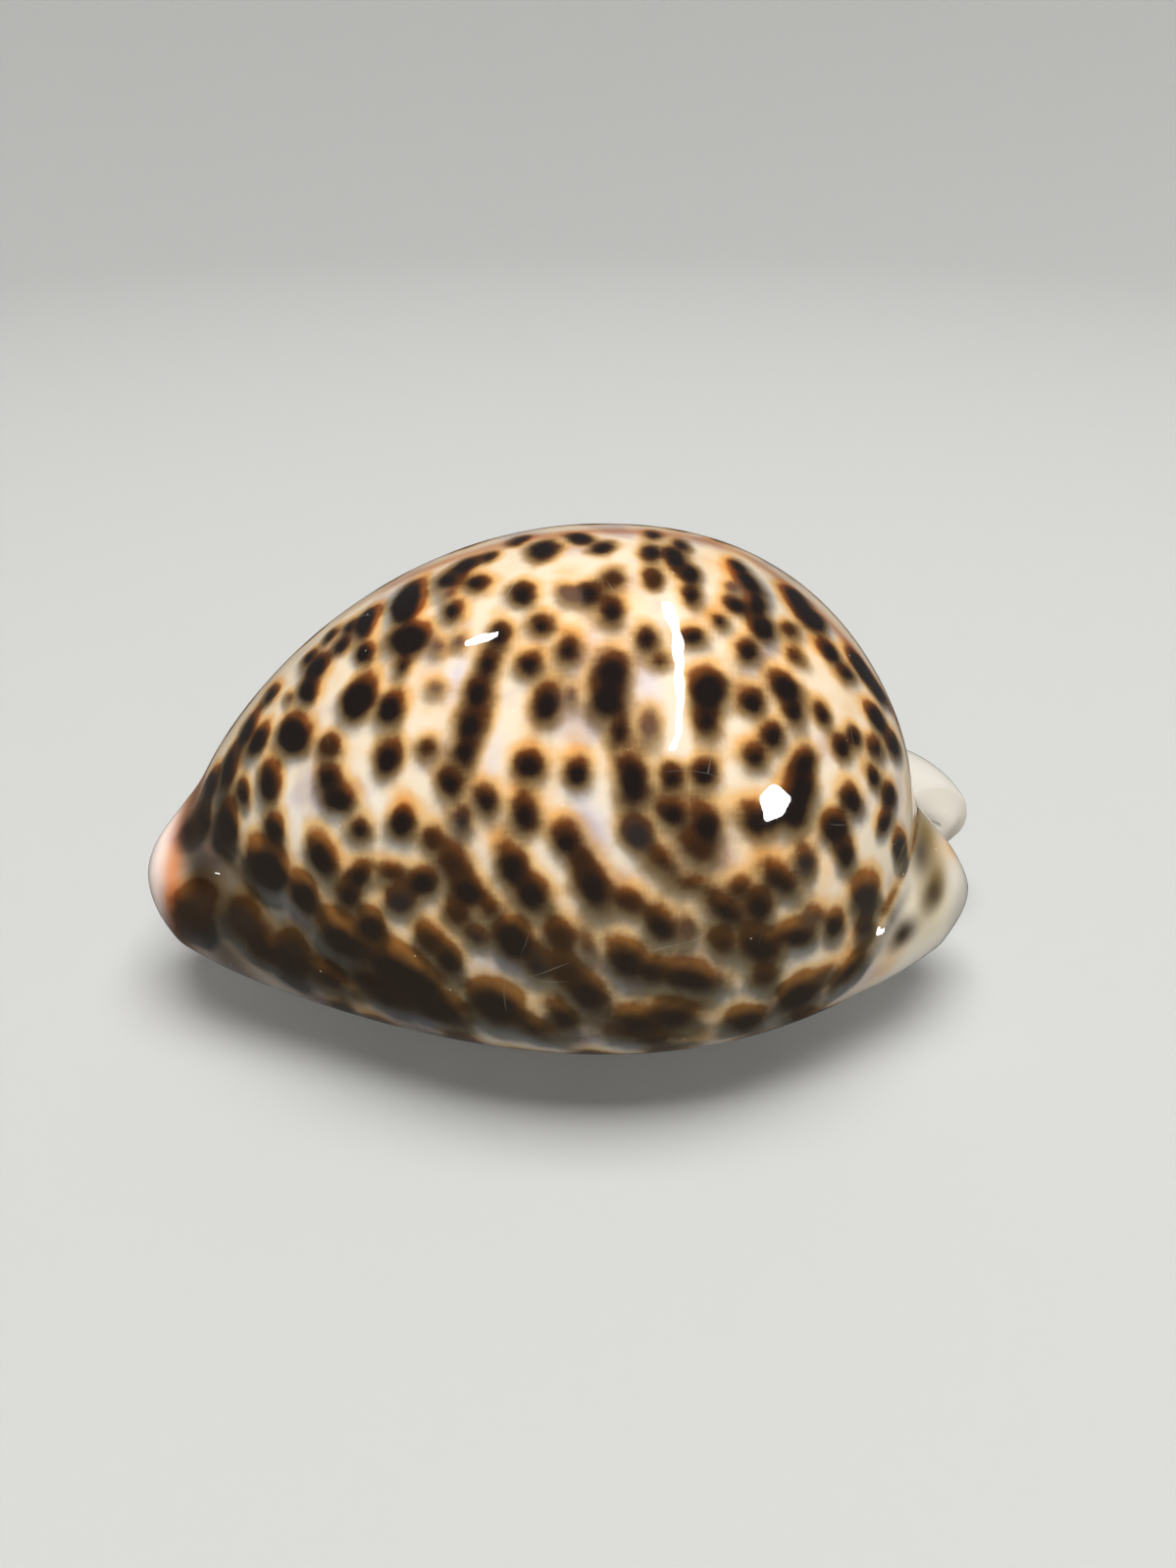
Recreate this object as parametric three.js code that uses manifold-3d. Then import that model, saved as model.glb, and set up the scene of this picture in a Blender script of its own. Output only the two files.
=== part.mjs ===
import * as THREE from 'three';
import { ParametricGeometry } from 'three/addons/geometries/ParametricGeometry.js';
import { mergeGeometries, mergeVertices } from 'three/addons/utils/BufferGeometryUtils.js';
import Module from 'manifold-3d';

// A tiger cowrie shell in millimetres, resting on its base at Z = 0.
// +X is the broad posterior end, -X the narrow anterior end, +Y the outer lip and -Y the columella.
// The shell is one wall, curled round the length axis from lip to lip. A point on it is given by
// its place along X and by phi, the angle round that axis: 0 is the crown, +-PI the two lips.

// Domed body whorl: its ends, widest station, half width, rise above the waist and squareness.
// Each taper is the pair of exponents (a, b) in (1 - s^a)^b, where s runs from 0 to 1 at an end.
const WAIST_HEIGHT = 12.3;
const DOME = { anterior: -40.3, widest: 4.2, posterior: 37.1, halfWidth: 29.1, rise: 32.7, square: 2.15 };
const DOME_PLAN = { anterior: [1.89, 0.68], posterior: [2.15, 0.51] };
const DOME_CROWN = { anterior: [2.0, 0.73], posterior: [2.33, 0.51] };

// Thickened margin that runs round the base and swells into the lobes at both ends.
const MARGIN = { anterior: -49.5, widest: 5.5, posterior: 49, halfWidth: 25.8, square: 2.4 };
const MARGIN_COLUMELLA = { anterior: [1.9, 0.58], posterior: [2.2, 0.74] };
const MARGIN_LIP = { anterior: [1.9, 0.74], posterior: [2.2, 0.66] };
// Rise of the margin above the waist on each side; the two sides meet across the crown's seam.
const MARGIN_RISE_LIP = { anterior: 4, posterior: 5 };
const MARGIN_RISE_COLUMELLA = { anterior: 7, posterior: 6.8 };
const CROWN_SEAM = [-0.5, 0.5];
const CREASE_BLEND = 1.9;

// The base is flat in its middle and curves up like a rocker towards both ends.
const ROCKER_RISE = { anterior: 8, posterior: 8.6 };
const ROCKER_LENGTH = 43;
const FLAT_CUT = 0.5;

// X of the wall's two end rims: over the canal, at the lobe on each side, and at the base.
const POSTERIOR_RIM = { top: 37.5, lip: 45.5, columella: 42.6, base: 39.5 };
const ANTERIOR_RIM = { top: -39.5, lip: -43.7, columella: -42.2, base: -41.6 };
// Angles phi, on each side, between which a rim runs out to its lobe and back to the base.
const POSTERIOR_LOBE = {
  lip: { out: [0.4, 1.6], back: [1.8, 3] },
  columella: { out: [0.3, 2], back: [2, 3] },
};
const ANTERIOR_LOBE = {
  lip: { out: [1.5, 2.5], back: [2.5, 3.14] },
  columella: { out: [0.3, 1.6], back: [2.3, 3.14] },
};
// Shift along X that brings the middle of the whole length to X = 0.
const LENGTH_SHIFT = -0.9;

// Aperture: its width at mid length and at the anterior end, and its bend towards the columella.
const APERTURE = { width: 5.6, anteriorWidth: 7.5, bend: 4 };

// Half the wall's thickness on the dome, at the rolled lips and at the two ends.
const HALF_WALL = { dome: 1.5, lips: 3.3, ends: 6 };
const LIP_ANGLES = [1.5, 2.5];
// The base sinks a little towards the aperture, so that the teeth stay clear of the ground.
const LIP_SINK = { depth: 1, width: 8 };
const END_ZONE = [28, 42];
const SMALLEST_CANAL_RADIUS = 2;

// Teeth: low ridges across both lips. Each is a lens, set in the lip so that its sharp edge stands
// a little proud of the rolled rim: its radius, half its thickness in the middle, and the place of
// its centre outwards from the rim and above it.
const TOOTH = { pitch: 3, count: 22, firstX: -33, sides: 10 };
const TOOTH_LENS = { radius: 2.85, half: 2.4, outwards: 2.2, above: 0.6 };

const STEPS_ALONG = 36;
const STEPS_ROUND = 38;
// Share of the sine term that gathers the steps round the shell at its lips.
const LIP_GATHERING = 0.4;
const PROFILE_SAMPLES = 160;

const ENAMEL = { color: 0xd9b98f, roughness: 0.12, metalness: 0 };

// Smooth step from 0 at from to 1 at to.
const smoothBetween = (value, [from, to]) => THREE.MathUtils.smoothstep(value, from, to);

// The larger of two radii, with the corner between them rounded over a width of blend.
function softMax(a, b, blend) {
  const overlap = Math.max(blend - Math.abs(a - b), 0) / blend;
  return Math.max(a, b) + overlap * overlap * blend / 4;
}

// Egg profile along X: 1 at the widest station, falling to 0 at both ends by the taper exponents.
function eggProfile(x, { anterior, widest, posterior }, taper) {
  const towardsFront = x < widest;
  const reach = towardsFront ? (widest - x) / (widest - anterior) : (x - widest) / (posterior - widest);
  const [inner, outer] = towardsFront ? taper.anterior : taper.posterior;
  return Math.pow(1 - Math.pow(Math.min(reach, 1), inner), outer);
}

// Polar radius of a superellipse with its own semi-axes up and down.
function superellipse(phi, halfWidth, up, down, square) {
  const across = Math.abs(Math.sin(phi)) / Math.max(halfWidth, 0.001);
  const upright = Math.abs(Math.cos(phi)) / Math.max(Math.cos(phi) > 0 ? up : down, 0.001);
  return Math.pow(Math.pow(across, square) + Math.pow(upright, square), -1 / square);
}

// Outer radius of the shell about the waist axis: the dome and the margin, merged at a soft crease.
function outerRadius(x, phi) {
  const end = x < 0 ? 'anterior' : 'posterior';
  const lift = ROCKER_RISE[end] * Math.pow(Math.abs(x) / ROCKER_LENGTH, 3);
  const down = WAIST_HEIGHT + FLAT_CUT - lift;
  const domeWidth = DOME.halfWidth * eggProfile(x, DOME, DOME_PLAN);
  const domeRise = DOME.rise * eggProfile(x, DOME, DOME_CROWN);
  const dome = superellipse(phi, domeWidth, domeRise, Math.min(down, domeWidth), DOME.square);
  const side = phi > 0 ? MARGIN_LIP : MARGIN_COLUMELLA;
  const marginWidth = MARGIN.halfWidth * eggProfile(x, MARGIN, side);
  const lipShare = smoothBetween(phi, CROWN_SEAM);
  const marginRise = THREE.MathUtils.lerp(MARGIN_RISE_COLUMELLA[end], MARGIN_RISE_LIP[end], lipShare);
  const margin = superellipse(phi, marginWidth, marginRise, down, MARGIN.square);
  return softMax(dome, margin, CREASE_BLEND);
}

// X of an end rim at the angle phi: over the canal, out to the lobe, and back at the base.
function rimAt(phi, rim, lobe) {
  const angle = Math.abs(phi);
  const side = phi > 0 ? 'lip' : 'columella';
  const out = (rim[side] - rim.top) * smoothBetween(angle, lobe[side].out);
  const back = (rim.base - rim[side]) * smoothBetween(angle, lobe[side].back);
  return rim.top + out + back;
}

// Half the wall's thickness: thin on the dome, thick at the lips and the ends.
function halfWall(x, phi, radius) {
  const dome = THREE.MathUtils.lerp(HALF_WALL.dome, HALF_WALL.lips, smoothBetween(Math.abs(phi), LIP_ANGLES));
  const wall = THREE.MathUtils.lerp(dome, HALF_WALL.ends, smoothBetween(Math.abs(x), END_ZONE));
  return Math.min(wall, (radius - SMALLEST_CANAL_RADIUS) / 2);
}

// Rise of a quarter circle: 0 at a rim, 1 once the distance from it reaches the edge radius.
function roundedEdge(distance, edgeRadius) {
  const left = 1 - Math.min(distance / edgeRadius, 1);
  return Math.sqrt(1 - left * left);
}

// X of both end rims at the angle phi.
function rimsAt(phi) {
  return [rimAt(phi, ANTERIOR_RIM, ANTERIOR_LOBE), rimAt(phi, POSTERIOR_RIM, POSTERIOR_LOBE)];
}

// Radius of one face of the wall, with face 1 for the outside and -1 for the inside.
// The two faces meet in a round edge at every rim.
function faceRadius(x, phi, face) {
  const [front, back] = rimsAt(phi);
  const radius = outerRadius(x, phi);
  const wall = halfWall(x, phi, radius);
  const fromLip = radius * (Math.PI - Math.abs(phi));
  const fromEnd = Math.max(Math.min(x - front, back - x), 0);
  const edge = roundedEdge(fromLip, wall) * roundedEdge(fromEnd, wall);
  const sink = LIP_SINK.depth * (1 - smoothBetween(fromLip, [0, LIP_SINK.width]));
  return radius - wall + edge * (face > 0 ? wall - sink : -wall);
}

// X at a share of the way along the outside at the angle phi, measured over the curve itself, so
// that the steep walls at both ends get as many steps for their length as the crown does.
function stationAt(share, phi) {
  const [front, back] = rimsAt(phi);
  const xs = [front];
  const lengths = [0];
  let previous = faceRadius(front, phi, 1);
  for (let i = 1; i <= PROFILE_SAMPLES; i++) {
    const x = THREE.MathUtils.lerp(front, back, (1 - Math.cos(i / PROFILE_SAMPLES * Math.PI)) / 2);
    const radius = faceRadius(x, phi, 1);
    lengths.push(lengths[i - 1] + Math.hypot(x - xs[i - 1], radius - previous));
    xs.push(x);
    previous = radius;
  }
  const wanted = share * lengths[PROFILE_SAMPLES];
  const next = Math.max(lengths.findIndex((length) => length >= wanted), 1);
  return THREE.MathUtils.mapLinear(wanted, lengths[next - 1], lengths[next], xs[next - 1], xs[next]);
}

// A point of the wall at the station x and the angle phi, on its outside or its inside.
function wallPoint(x, phi, face, target) {
  const r = faceRadius(x, phi, face);
  const frontShare = Math.max(-x / ROCKER_LENGTH, 0);
  const backShare = Math.max(x / ROCKER_LENGTH, 0);
  const width = THREE.MathUtils.lerp(APERTURE.width, APERTURE.anteriorWidth, frontShare * frontShare);
  const middle = -APERTURE.bend * backShare * backShare;
  const under = smoothBetween(Math.abs(phi), [Math.PI / 2, Math.PI]);
  const y = r * Math.sin(phi) + (Math.sign(phi) * width / 2 + middle) * under;
  const z = WAIST_HEIGHT + r * Math.cos(phi);
  return target.set(x + LENGTH_SHIFT, y, Math.max(z, 0));
}

// One face of the wall as a grid. The steps round the shell close up towards the lips, and the
// inside runs the other way along X so that both faces look away from the wall.
function wallFace(face) {
  const grid = (u, v, target) => {
    const even = 2 * v - 1;
    const round = (1 - LIP_GATHERING) * even + LIP_GATHERING * Math.sin(even * Math.PI / 2);
    const phi = round * Math.PI;
    wallPoint(stationAt(face > 0 ? u : 1 - u, phi), phi, face, target);
  };
  return new ParametricGeometry(grid, STEPS_ALONG, STEPS_ROUND);
}

// Drops normals and texture coordinates, so that points in the same place become one vertex.
function weld(geometry) {
  geometry.deleteAttribute('normal');
  geometry.deleteAttribute('uv');
  return mergeVertices(geometry, 0.0001);
}

// The lens of one tooth at the station x. side is 1 on the outer lip and -1 on the columella.
function toothGeometry(x, side) {
  const { radius, half, outwards, above } = TOOTH_LENS;
  const profile = [[0, -half], [radius, 0], [0, half]];
  const lens = new THREE.LatheGeometry(profile.map(([r, h]) => new THREE.Vector2(r, h)), TOOTH.sides);
  const rim = wallPoint(x, side * Math.PI, 1, new THREE.Vector3());
  lens.rotateZ(-Math.PI / 2);
  lens.translate(rim.x, rim.y + side * outwards, rim.z + above);
  return lens;
}

const wasm = await Module();
wasm.setup();

// A closed solid from a geometry whose faces point out.
function solidFrom(geometry) {
  const welded = weld(geometry);
  const vertProperties = new Float32Array(welded.getAttribute('position').array);
  const triVerts = new Uint32Array(welded.getIndex().array);
  return new wasm.Manifold(new wasm.Mesh({ numProp: 3, vertProperties, triVerts }));
}

// A geometry from a solid.
function geometryFrom(solid) {
  const mesh = solid.getMesh();
  const geometry = new THREE.BufferGeometry();
  geometry.setAttribute('position', new THREE.BufferAttribute(mesh.vertProperties, 3));
  geometry.setIndex(new THREE.BufferAttribute(mesh.triVerts, 1));
  geometry.computeVertexNormals();
  return geometry;
}

// The wall with a row of teeth fused to each lip.
function shellGeometry() {
  let shell = solidFrom(mergeGeometries([wallFace(1), wallFace(-1)]));
  for (const side of [1, -1]) {
    for (let tooth = 0; tooth < TOOTH.count; tooth++) {
      const x = TOOTH.firstX + tooth * TOOTH.pitch;
      shell = shell.add(solidFrom(toothGeometry(x, side)));
    }
  }
  return geometryFrom(shell);
}

const cowrie = new THREE.Group();
const shell = new THREE.Mesh(shellGeometry(), new THREE.MeshStandardMaterial(ENAMEL));
shell.name = 'shell';
cowrie.add(shell);

export default cowrie;
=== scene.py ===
# %% [markdown]
# # A tiger cowrie, worked out as one surface
# A cowrie grows as one piece: a wall that curls round the length axis until its two lips nearly meet
# underneath, then lays glossy enamel over its own outside. So this lesson makes one object. The shape is a
# function of two parameters, and the markings are fields painted on its points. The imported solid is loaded
# first, because its frame, its size and its place are what the fine surface has to keep.

import bpy
import numpy as np
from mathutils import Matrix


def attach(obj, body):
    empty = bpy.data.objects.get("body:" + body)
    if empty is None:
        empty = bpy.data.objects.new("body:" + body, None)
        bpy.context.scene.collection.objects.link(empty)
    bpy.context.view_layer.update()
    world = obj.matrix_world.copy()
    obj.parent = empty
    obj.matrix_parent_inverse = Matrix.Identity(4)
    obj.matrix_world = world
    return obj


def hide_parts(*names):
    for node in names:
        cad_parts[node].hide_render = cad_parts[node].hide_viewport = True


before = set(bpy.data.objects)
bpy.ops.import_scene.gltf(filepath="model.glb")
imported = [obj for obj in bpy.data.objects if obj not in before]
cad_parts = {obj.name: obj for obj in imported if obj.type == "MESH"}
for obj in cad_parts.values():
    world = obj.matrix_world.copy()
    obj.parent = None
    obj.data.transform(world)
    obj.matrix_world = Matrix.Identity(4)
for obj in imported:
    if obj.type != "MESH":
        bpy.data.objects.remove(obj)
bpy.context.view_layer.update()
MM = 0.001

# %% [markdown]
# ## The driving sizes
# The same sizes, in millimetres, drive the solid and this surface. The body whorl is a dome on a waist,
# the margin is a thick rim round the base that swells into two lobes at each end, and the base rocks up
# towards both ends. A taper is the pair of exponents (a, b) in (1 - s^a)^b, where s is 0 at the widest
# station and 1 at an end.

# %% Sizes of the shell
WAIST_HEIGHT = 12.3
DOME = {"anterior": -40.3, "widest": 4.2, "posterior": 37.1}
DOME_HALF_WIDTH = 29.1
DOME_RISE = 32.7
DOME_SQUARE = 2.15
DOME_PLAN = {"anterior": (1.89, 0.68), "posterior": (2.15, 0.51)}
DOME_CROWN = {"anterior": (2.0, 0.73), "posterior": (2.33, 0.51)}
MARGIN = {"anterior": -49.5, "widest": 5.5, "posterior": 49.0}
MARGIN_HALF_WIDTH = 25.8
MARGIN_SQUARE = 2.4
MARGIN_COLUMELLA = {"anterior": (1.9, 0.58), "posterior": (2.2, 0.74)}
MARGIN_LIP = {"anterior": (1.9, 0.74), "posterior": (2.2, 0.66)}
MARGIN_RISE_LIP = {"anterior": 4.0, "posterior": 5.0}
MARGIN_RISE_COLUMELLA = {"anterior": 7.0, "posterior": 6.8}
CROWN_SEAM = (-0.5, 0.5)
CREASE_BLEND = 1.9
ROCKER_RISE = {"anterior": 8.0, "posterior": 8.6}
ROCKER_LENGTH = 43.0
FLAT_CUT = 0.5
POSTERIOR_RIM = {"top": 37.5, "lip": 45.5, "columella": 42.6, "base": 39.5}
ANTERIOR_RIM = {"top": -39.5, "lip": -43.7, "columella": -42.2, "base": -41.6}
POSTERIOR_LOBE = {
    "lip": {"out": (0.4, 1.6), "back": (1.8, 3.0)},
    "columella": {"out": (0.3, 2.0), "back": (2.0, 3.0)},
}
ANTERIOR_LOBE = {
    "lip": {"out": (1.5, 2.5), "back": (2.5, 3.14)},
    "columella": {"out": (0.3, 1.6), "back": (2.3, 3.14)},
}
LENGTH_SHIFT = -0.9
APERTURE_WIDTH = 5.6
APERTURE_ANTERIOR_WIDTH = 7.5
APERTURE_BEND = 4.0
HALF_WALL = {"dome": 1.5, "lips": 3.3, "ends": 6.0}
LIP_ANGLES = (1.5, 2.5)
LIP_SINK_DEPTH = 1.0
LIP_SINK_WIDTH = 8.0
END_ZONE = (28.0, 42.0)
SMALLEST_CANAL_RADIUS = 2.0
print("length over the rims:", POSTERIOR_RIM["lip"] - ANTERIOR_RIM["lip"], "mm")

# %% [markdown]
# ## Small shape helpers
# Blender could sculpt an egg from a sphere, but a formula keeps the visible shell and the solid the same
# to a fraction of a millimetre. Every helper takes whole arrays, so the full grid is worked out at once.


# %% Helpers for profiles and blends
def smooth_between(value, span):
    """Smooth step: 3 t^2 - 2 t^3, where t runs from 0 to 1 across the span."""
    t = np.clip((value - span[0]) / (span[1] - span[0]), 0.0, 1.0)
    return t * t * (3.0 - 2.0 * t)


def lerp(start, end, share):
    """Straight mix: start + (end - start) * share."""
    return start + (end - start) * share


def soft_max(a, b, blend):
    """The larger of a and b, plus a quarter of the blend times the squared overlap share at the corner."""
    overlap = np.maximum(blend - np.abs(a - b), 0.0) / blend
    return np.maximum(a, b) + overlap * overlap * blend / 4.0


def by_end(x, pair):
    """The anterior value where x is negative, the posterior value elsewhere."""
    return np.where(x < 0.0, pair["anterior"], pair["posterior"])


def egg_profile(x, ends, taper):
    """(1 - s^a)^b, with s the distance from the widest station as a share of the way to that end."""
    towards_front = x < ends["widest"]
    front = (ends["widest"] - x) / (ends["widest"] - ends["anterior"])
    back = (x - ends["widest"]) / (ends["posterior"] - ends["widest"])
    reach = np.clip(np.where(towards_front, front, back), 0.0, 1.0)
    inner = np.where(towards_front, taper["anterior"][0], taper["posterior"][0])
    outer = np.where(towards_front, taper["anterior"][1], taper["posterior"][1])
    return (1.0 - reach**inner) ** outer


def superellipse(phi, half_width, up, down, square):
    """Polar radius (|sin/w|^n + |cos/h|^n)^(-1/n), with h the rise above the axis or the depth below it."""
    height = np.where(np.cos(phi) > 0.0, up, down)
    across = np.abs(np.sin(phi)) / np.maximum(half_width, 0.001)
    upright = np.abs(np.cos(phi)) / np.maximum(height, 0.001)
    return (across**square + upright**square) ** (-1.0 / square)


mid_width = DOME_HALF_WIDTH * float(egg_profile(np.array(0.0), DOME, DOME_PLAN))
print("dome half width at mid length:", round(mid_width, 2), "mm")

# %% [markdown]
# ## The wall
# A point of the wall has a station x along the length and an angle phi round the waist axis: 0 is the
# crown, plus and minus pi are the two lips. Outside and inside are the same formula with the wall's
# thickness added or taken away, and both close to one round edge at every rim.


# %% Radius of the wall
def whorl_radii(x, phi):
    """Radii of the dome and of the margin about the waist axis, before they are merged."""
    down = WAIST_HEIGHT + FLAT_CUT - by_end(x, ROCKER_RISE) * (np.abs(x) / ROCKER_LENGTH) ** 3
    dome_width = DOME_HALF_WIDTH * egg_profile(x, DOME, DOME_PLAN)
    dome_rise = DOME_RISE * egg_profile(x, DOME, DOME_CROWN)
    dome = superellipse(phi, dome_width, dome_rise, np.minimum(down, dome_width), DOME_SQUARE)
    lip_side = egg_profile(x, MARGIN, MARGIN_LIP)
    columella_side = egg_profile(x, MARGIN, MARGIN_COLUMELLA)
    margin_width = MARGIN_HALF_WIDTH * np.where(phi > 0.0, lip_side, columella_side)
    lip_share = smooth_between(phi, CROWN_SEAM)
    margin_rise = lerp(by_end(x, MARGIN_RISE_COLUMELLA), by_end(x, MARGIN_RISE_LIP), lip_share)
    margin = superellipse(phi, margin_width, margin_rise, down, MARGIN_SQUARE)
    return dome, margin


def rim_on_side(phi, rim, lobe, side):
    """X of an end rim on one side: canal top, out to the lobe and back to the base, by smooth steps."""
    angle = np.abs(phi)
    out = (rim[side] - rim["top"]) * smooth_between(angle, lobe[side]["out"])
    back = (rim["base"] - rim[side]) * smooth_between(angle, lobe[side]["back"])
    return rim["top"] + out + back


def rim_at(phi, rim, lobe):
    """X of an end rim all round: the outer lip's side where phi is positive, the columella's elsewhere."""
    lip, columella = (rim_on_side(phi, rim, lobe, side) for side in ("lip", "columella"))
    return np.where(phi > 0.0, lip, columella)


def end_rims(phi):
    """X of the anterior rim and of the posterior rim."""
    return rim_at(phi, ANTERIOR_RIM, ANTERIOR_LOBE), rim_at(phi, POSTERIOR_RIM, POSTERIOR_LOBE)


def distance_from_rims(x, phi):
    """Distance along the length to the nearer of the two end rims."""
    front, back = end_rims(phi)
    return np.minimum(x - front, back - x)


def rounded_edge(distance, edge_radius):
    """Rise of a quarter circle: sqrt(1 - (1 - d/r)^2), which is 1 from d = r onwards."""
    left = 1.0 - np.minimum(distance / edge_radius, 1.0)
    return np.sqrt(1.0 - left * left)


def distance_from_lip(radius, phi):
    """Length of the arc that is left to the lip: radius times (pi - |phi|)."""
    return radius * (np.pi - np.abs(phi))


def wall_radius(x, phi, face):
    """Radius of the outside (face 1) or the inside (face -1): middle of the wall plus the edge rise."""
    radius = soft_max(*whorl_radii(x, phi), CREASE_BLEND)
    wall = lerp(HALF_WALL["dome"], HALF_WALL["lips"], smooth_between(np.abs(phi), LIP_ANGLES))
    wall = lerp(wall, HALF_WALL["ends"], smooth_between(np.abs(x), END_ZONE))
    wall = np.minimum(wall, (radius - SMALLEST_CANAL_RADIUS) / 2.0)
    from_end = np.maximum(distance_from_rims(x, phi), 0.0)
    from_lip = distance_from_lip(radius, phi)
    edge = rounded_edge(from_lip, wall) * rounded_edge(from_end, wall)
    sink = LIP_SINK_DEPTH * (1.0 - smooth_between(from_lip, (0.0, LIP_SINK_WIDTH)))
    return radius - wall + edge * (wall - sink if face > 0 else -wall)


def wall_point(x, phi, face):
    """(x + shift, r sin phi, waist + r cos phi), with the two lips moved apart underneath by the aperture."""
    r = wall_radius(x, phi, face)
    front_share = np.maximum(-x / ROCKER_LENGTH, 0.0)
    back_share = np.maximum(x / ROCKER_LENGTH, 0.0)
    gap = lerp(APERTURE_WIDTH, APERTURE_ANTERIOR_WIDTH, front_share**2)
    middle = -APERTURE_BEND * back_share**2
    under = smooth_between(np.abs(phi), (np.pi / 2, np.pi))
    y = r * np.sin(phi) + (np.sign(phi) * gap / 2 + middle) * under
    return np.stack([x + LENGTH_SHIFT, y, np.maximum(WAIST_HEIGHT + r * np.cos(phi), 0.0)], axis=-1)


crown = wall_point(np.array([DOME["widest"]]), np.array([0.0]), 1)[0]
print("crown height:", round(float(crown[2]), 2), "mm")

# %% [markdown]
# ## The grid
# Even steps in x would leave the steep end walls with only a few rows, so each column of the grid is
# walked by length: the profile is sampled finely, its length is summed, and the stations are read back at
# equal lengths. The columns lie a little closer on the crown, where the small spots need them.

# %% Stations and angles of the grid
ROWS = 250
COLUMNS = 320
INSIDE_STEP = 8
CROWN_GATHERING = 0.2
PROFILE_SAMPLES = 600

even = np.linspace(-1.0, 1.0, COLUMNS + 1)
angles = np.pi * ((1.0 + CROWN_GATHERING) * even - CROWN_GATHERING * np.sin(even * np.pi / 2))


def stations(phi):
    """For each angle, x at equal lengths along the outside profile from the front rim to the back rim."""
    share = (1.0 - np.cos(np.linspace(0.0, np.pi, PROFILE_SAMPLES)))[:, None] / 2
    x = lerp(*end_rims(phi), share)
    r = wall_radius(x, phi[None, :], 1)
    steps = np.hypot(np.diff(x, axis=0), np.diff(r, axis=0))
    length = np.vstack([np.zeros_like(phi), np.cumsum(steps, axis=0)])
    wanted = np.linspace(0.0, 1.0, ROWS + 1)
    return np.stack([np.interp(wanted, c / c[-1], s) for c, s in zip(length.T, x.T)], axis=1)


grid_x = stations(angles)
grid_phi = np.broadcast_to(angles, grid_x.shape)
outside = wall_point(grid_x, grid_phi, 1)
inside_x, inside_phi = grid_x[:, ::INSIDE_STEP], grid_phi[:, ::INSIDE_STEP]
inside = wall_point(inside_x, inside_phi, -1)
print("outside grid:", outside.shape, "inside grid:", inside.shape)

# %% [markdown]
# ## Teeth
# Both lips carry a row of rounded teeth, about three millimetres apart. They could be separate lumps
# joined on, but on the shell they are swellings of the lip itself. So the surface is pushed out along its
# own normals by a row of raised-cosine ridges that fade out across the lip and towards both ends.

# %% Teeth pushed out along the normals
TOOTH_PITCH = 3.0
TOOTH_HEIGHT = 0.75
TOOTH_SHARPNESS = 1.5
TOOTH_ROW = {"starts": (-34.0, -30.0), "stops": (31.0, 34.5)}
TOOTH_REACH = {"lip": (2.0, 6.5), "columella": (1.0, 4.8)}
TOOTH_INSIDE_REACH = {"lip": (0.5, 4.0), "columella": (0.5, 4.0)}


def grid_normals(points):
    """Unit cross product of the grid's two step directions, facing away from the wall's middle."""
    along = np.gradient(points, axis=0)
    round_step = np.gradient(points, axis=1)
    normal = np.cross(along, round_step)
    return normal / np.maximum(np.linalg.norm(normal, axis=-1, keepdims=True), 1e-9)


def tooth_ridges(x):
    """Raised cosine (0.5 + 0.5 cos(2 pi x / pitch))^sharpness along the lip, faded at the row's ends."""
    wave = (0.5 + 0.5 * np.cos(2 * np.pi * x / TOOTH_PITCH)) ** TOOTH_SHARPNESS
    return wave * smooth_between(x, TOOTH_ROW["starts"]) * (1.0 - smooth_between(x, TOOTH_ROW["stops"]))


def with_teeth(points, normals, x, phi, reach):
    """Points moved along their normals by height times ridge times a fade with the distance from the lip."""
    from_lip = distance_from_lip(wall_radius(x, phi, 1), phi)
    lip, columella = (1.0 - smooth_between(from_lip, reach[side]) for side in ("lip", "columella"))
    push = TOOTH_HEIGHT * tooth_ridges(x) * np.where(phi > 0.0, lip, columella)
    moved = points + normals * push[..., None]
    moved[..., 2] = np.maximum(moved[..., 2], 0.0)
    return moved


outside_normals = grid_normals(outside)
outside = with_teeth(outside, outside_normals, grid_x, grid_phi, TOOTH_REACH)
inside = with_teeth(inside, -grid_normals(inside), inside_x, inside_phi, TOOTH_INSIDE_REACH)
print("lowest point:", round(float(outside[..., 2].min()), 3), "mm")
print("normal at the crown:", np.round(outside_normals[ROWS // 2, COLUMNS // 2], 2))

# %% [markdown]
# ## One closed skin
# The outside grid has eight columns for each one inside, where nobody looks closely. Both grids share the
# lip columns. At the two end rims the first inside row is sewn straight to the outside rim: each step of
# the rim makes a triangle to its nearest inside point, and each change of nearest point makes one more.


# %% Faces of the outside, the inside and the sewn rims
def quads(index):
    """One quad between each two neighbouring rows and columns of an index grid."""
    corners = [index[:-1, :-1], index[1:, :-1], index[1:, 1:], index[:-1, 1:]]
    return np.stack(corners, axis=-1).reshape(-1, 4)


def sew(rim, row):
    """Triangles from a fine rim to a coarse row: one per rim step, one per change of nearest point."""
    nearest = np.round(np.arange(len(rim)) / INSIDE_STEP).astype(int)
    fan = np.stack([rim[:-1], rim[1:], row[nearest[:-1]]], axis=-1)
    turn = np.flatnonzero(np.diff(nearest))
    change = np.stack([rim[turn + 1], row[nearest[turn + 1]], row[nearest[turn]]], axis=-1)
    return np.vstack([fan, change])


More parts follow.
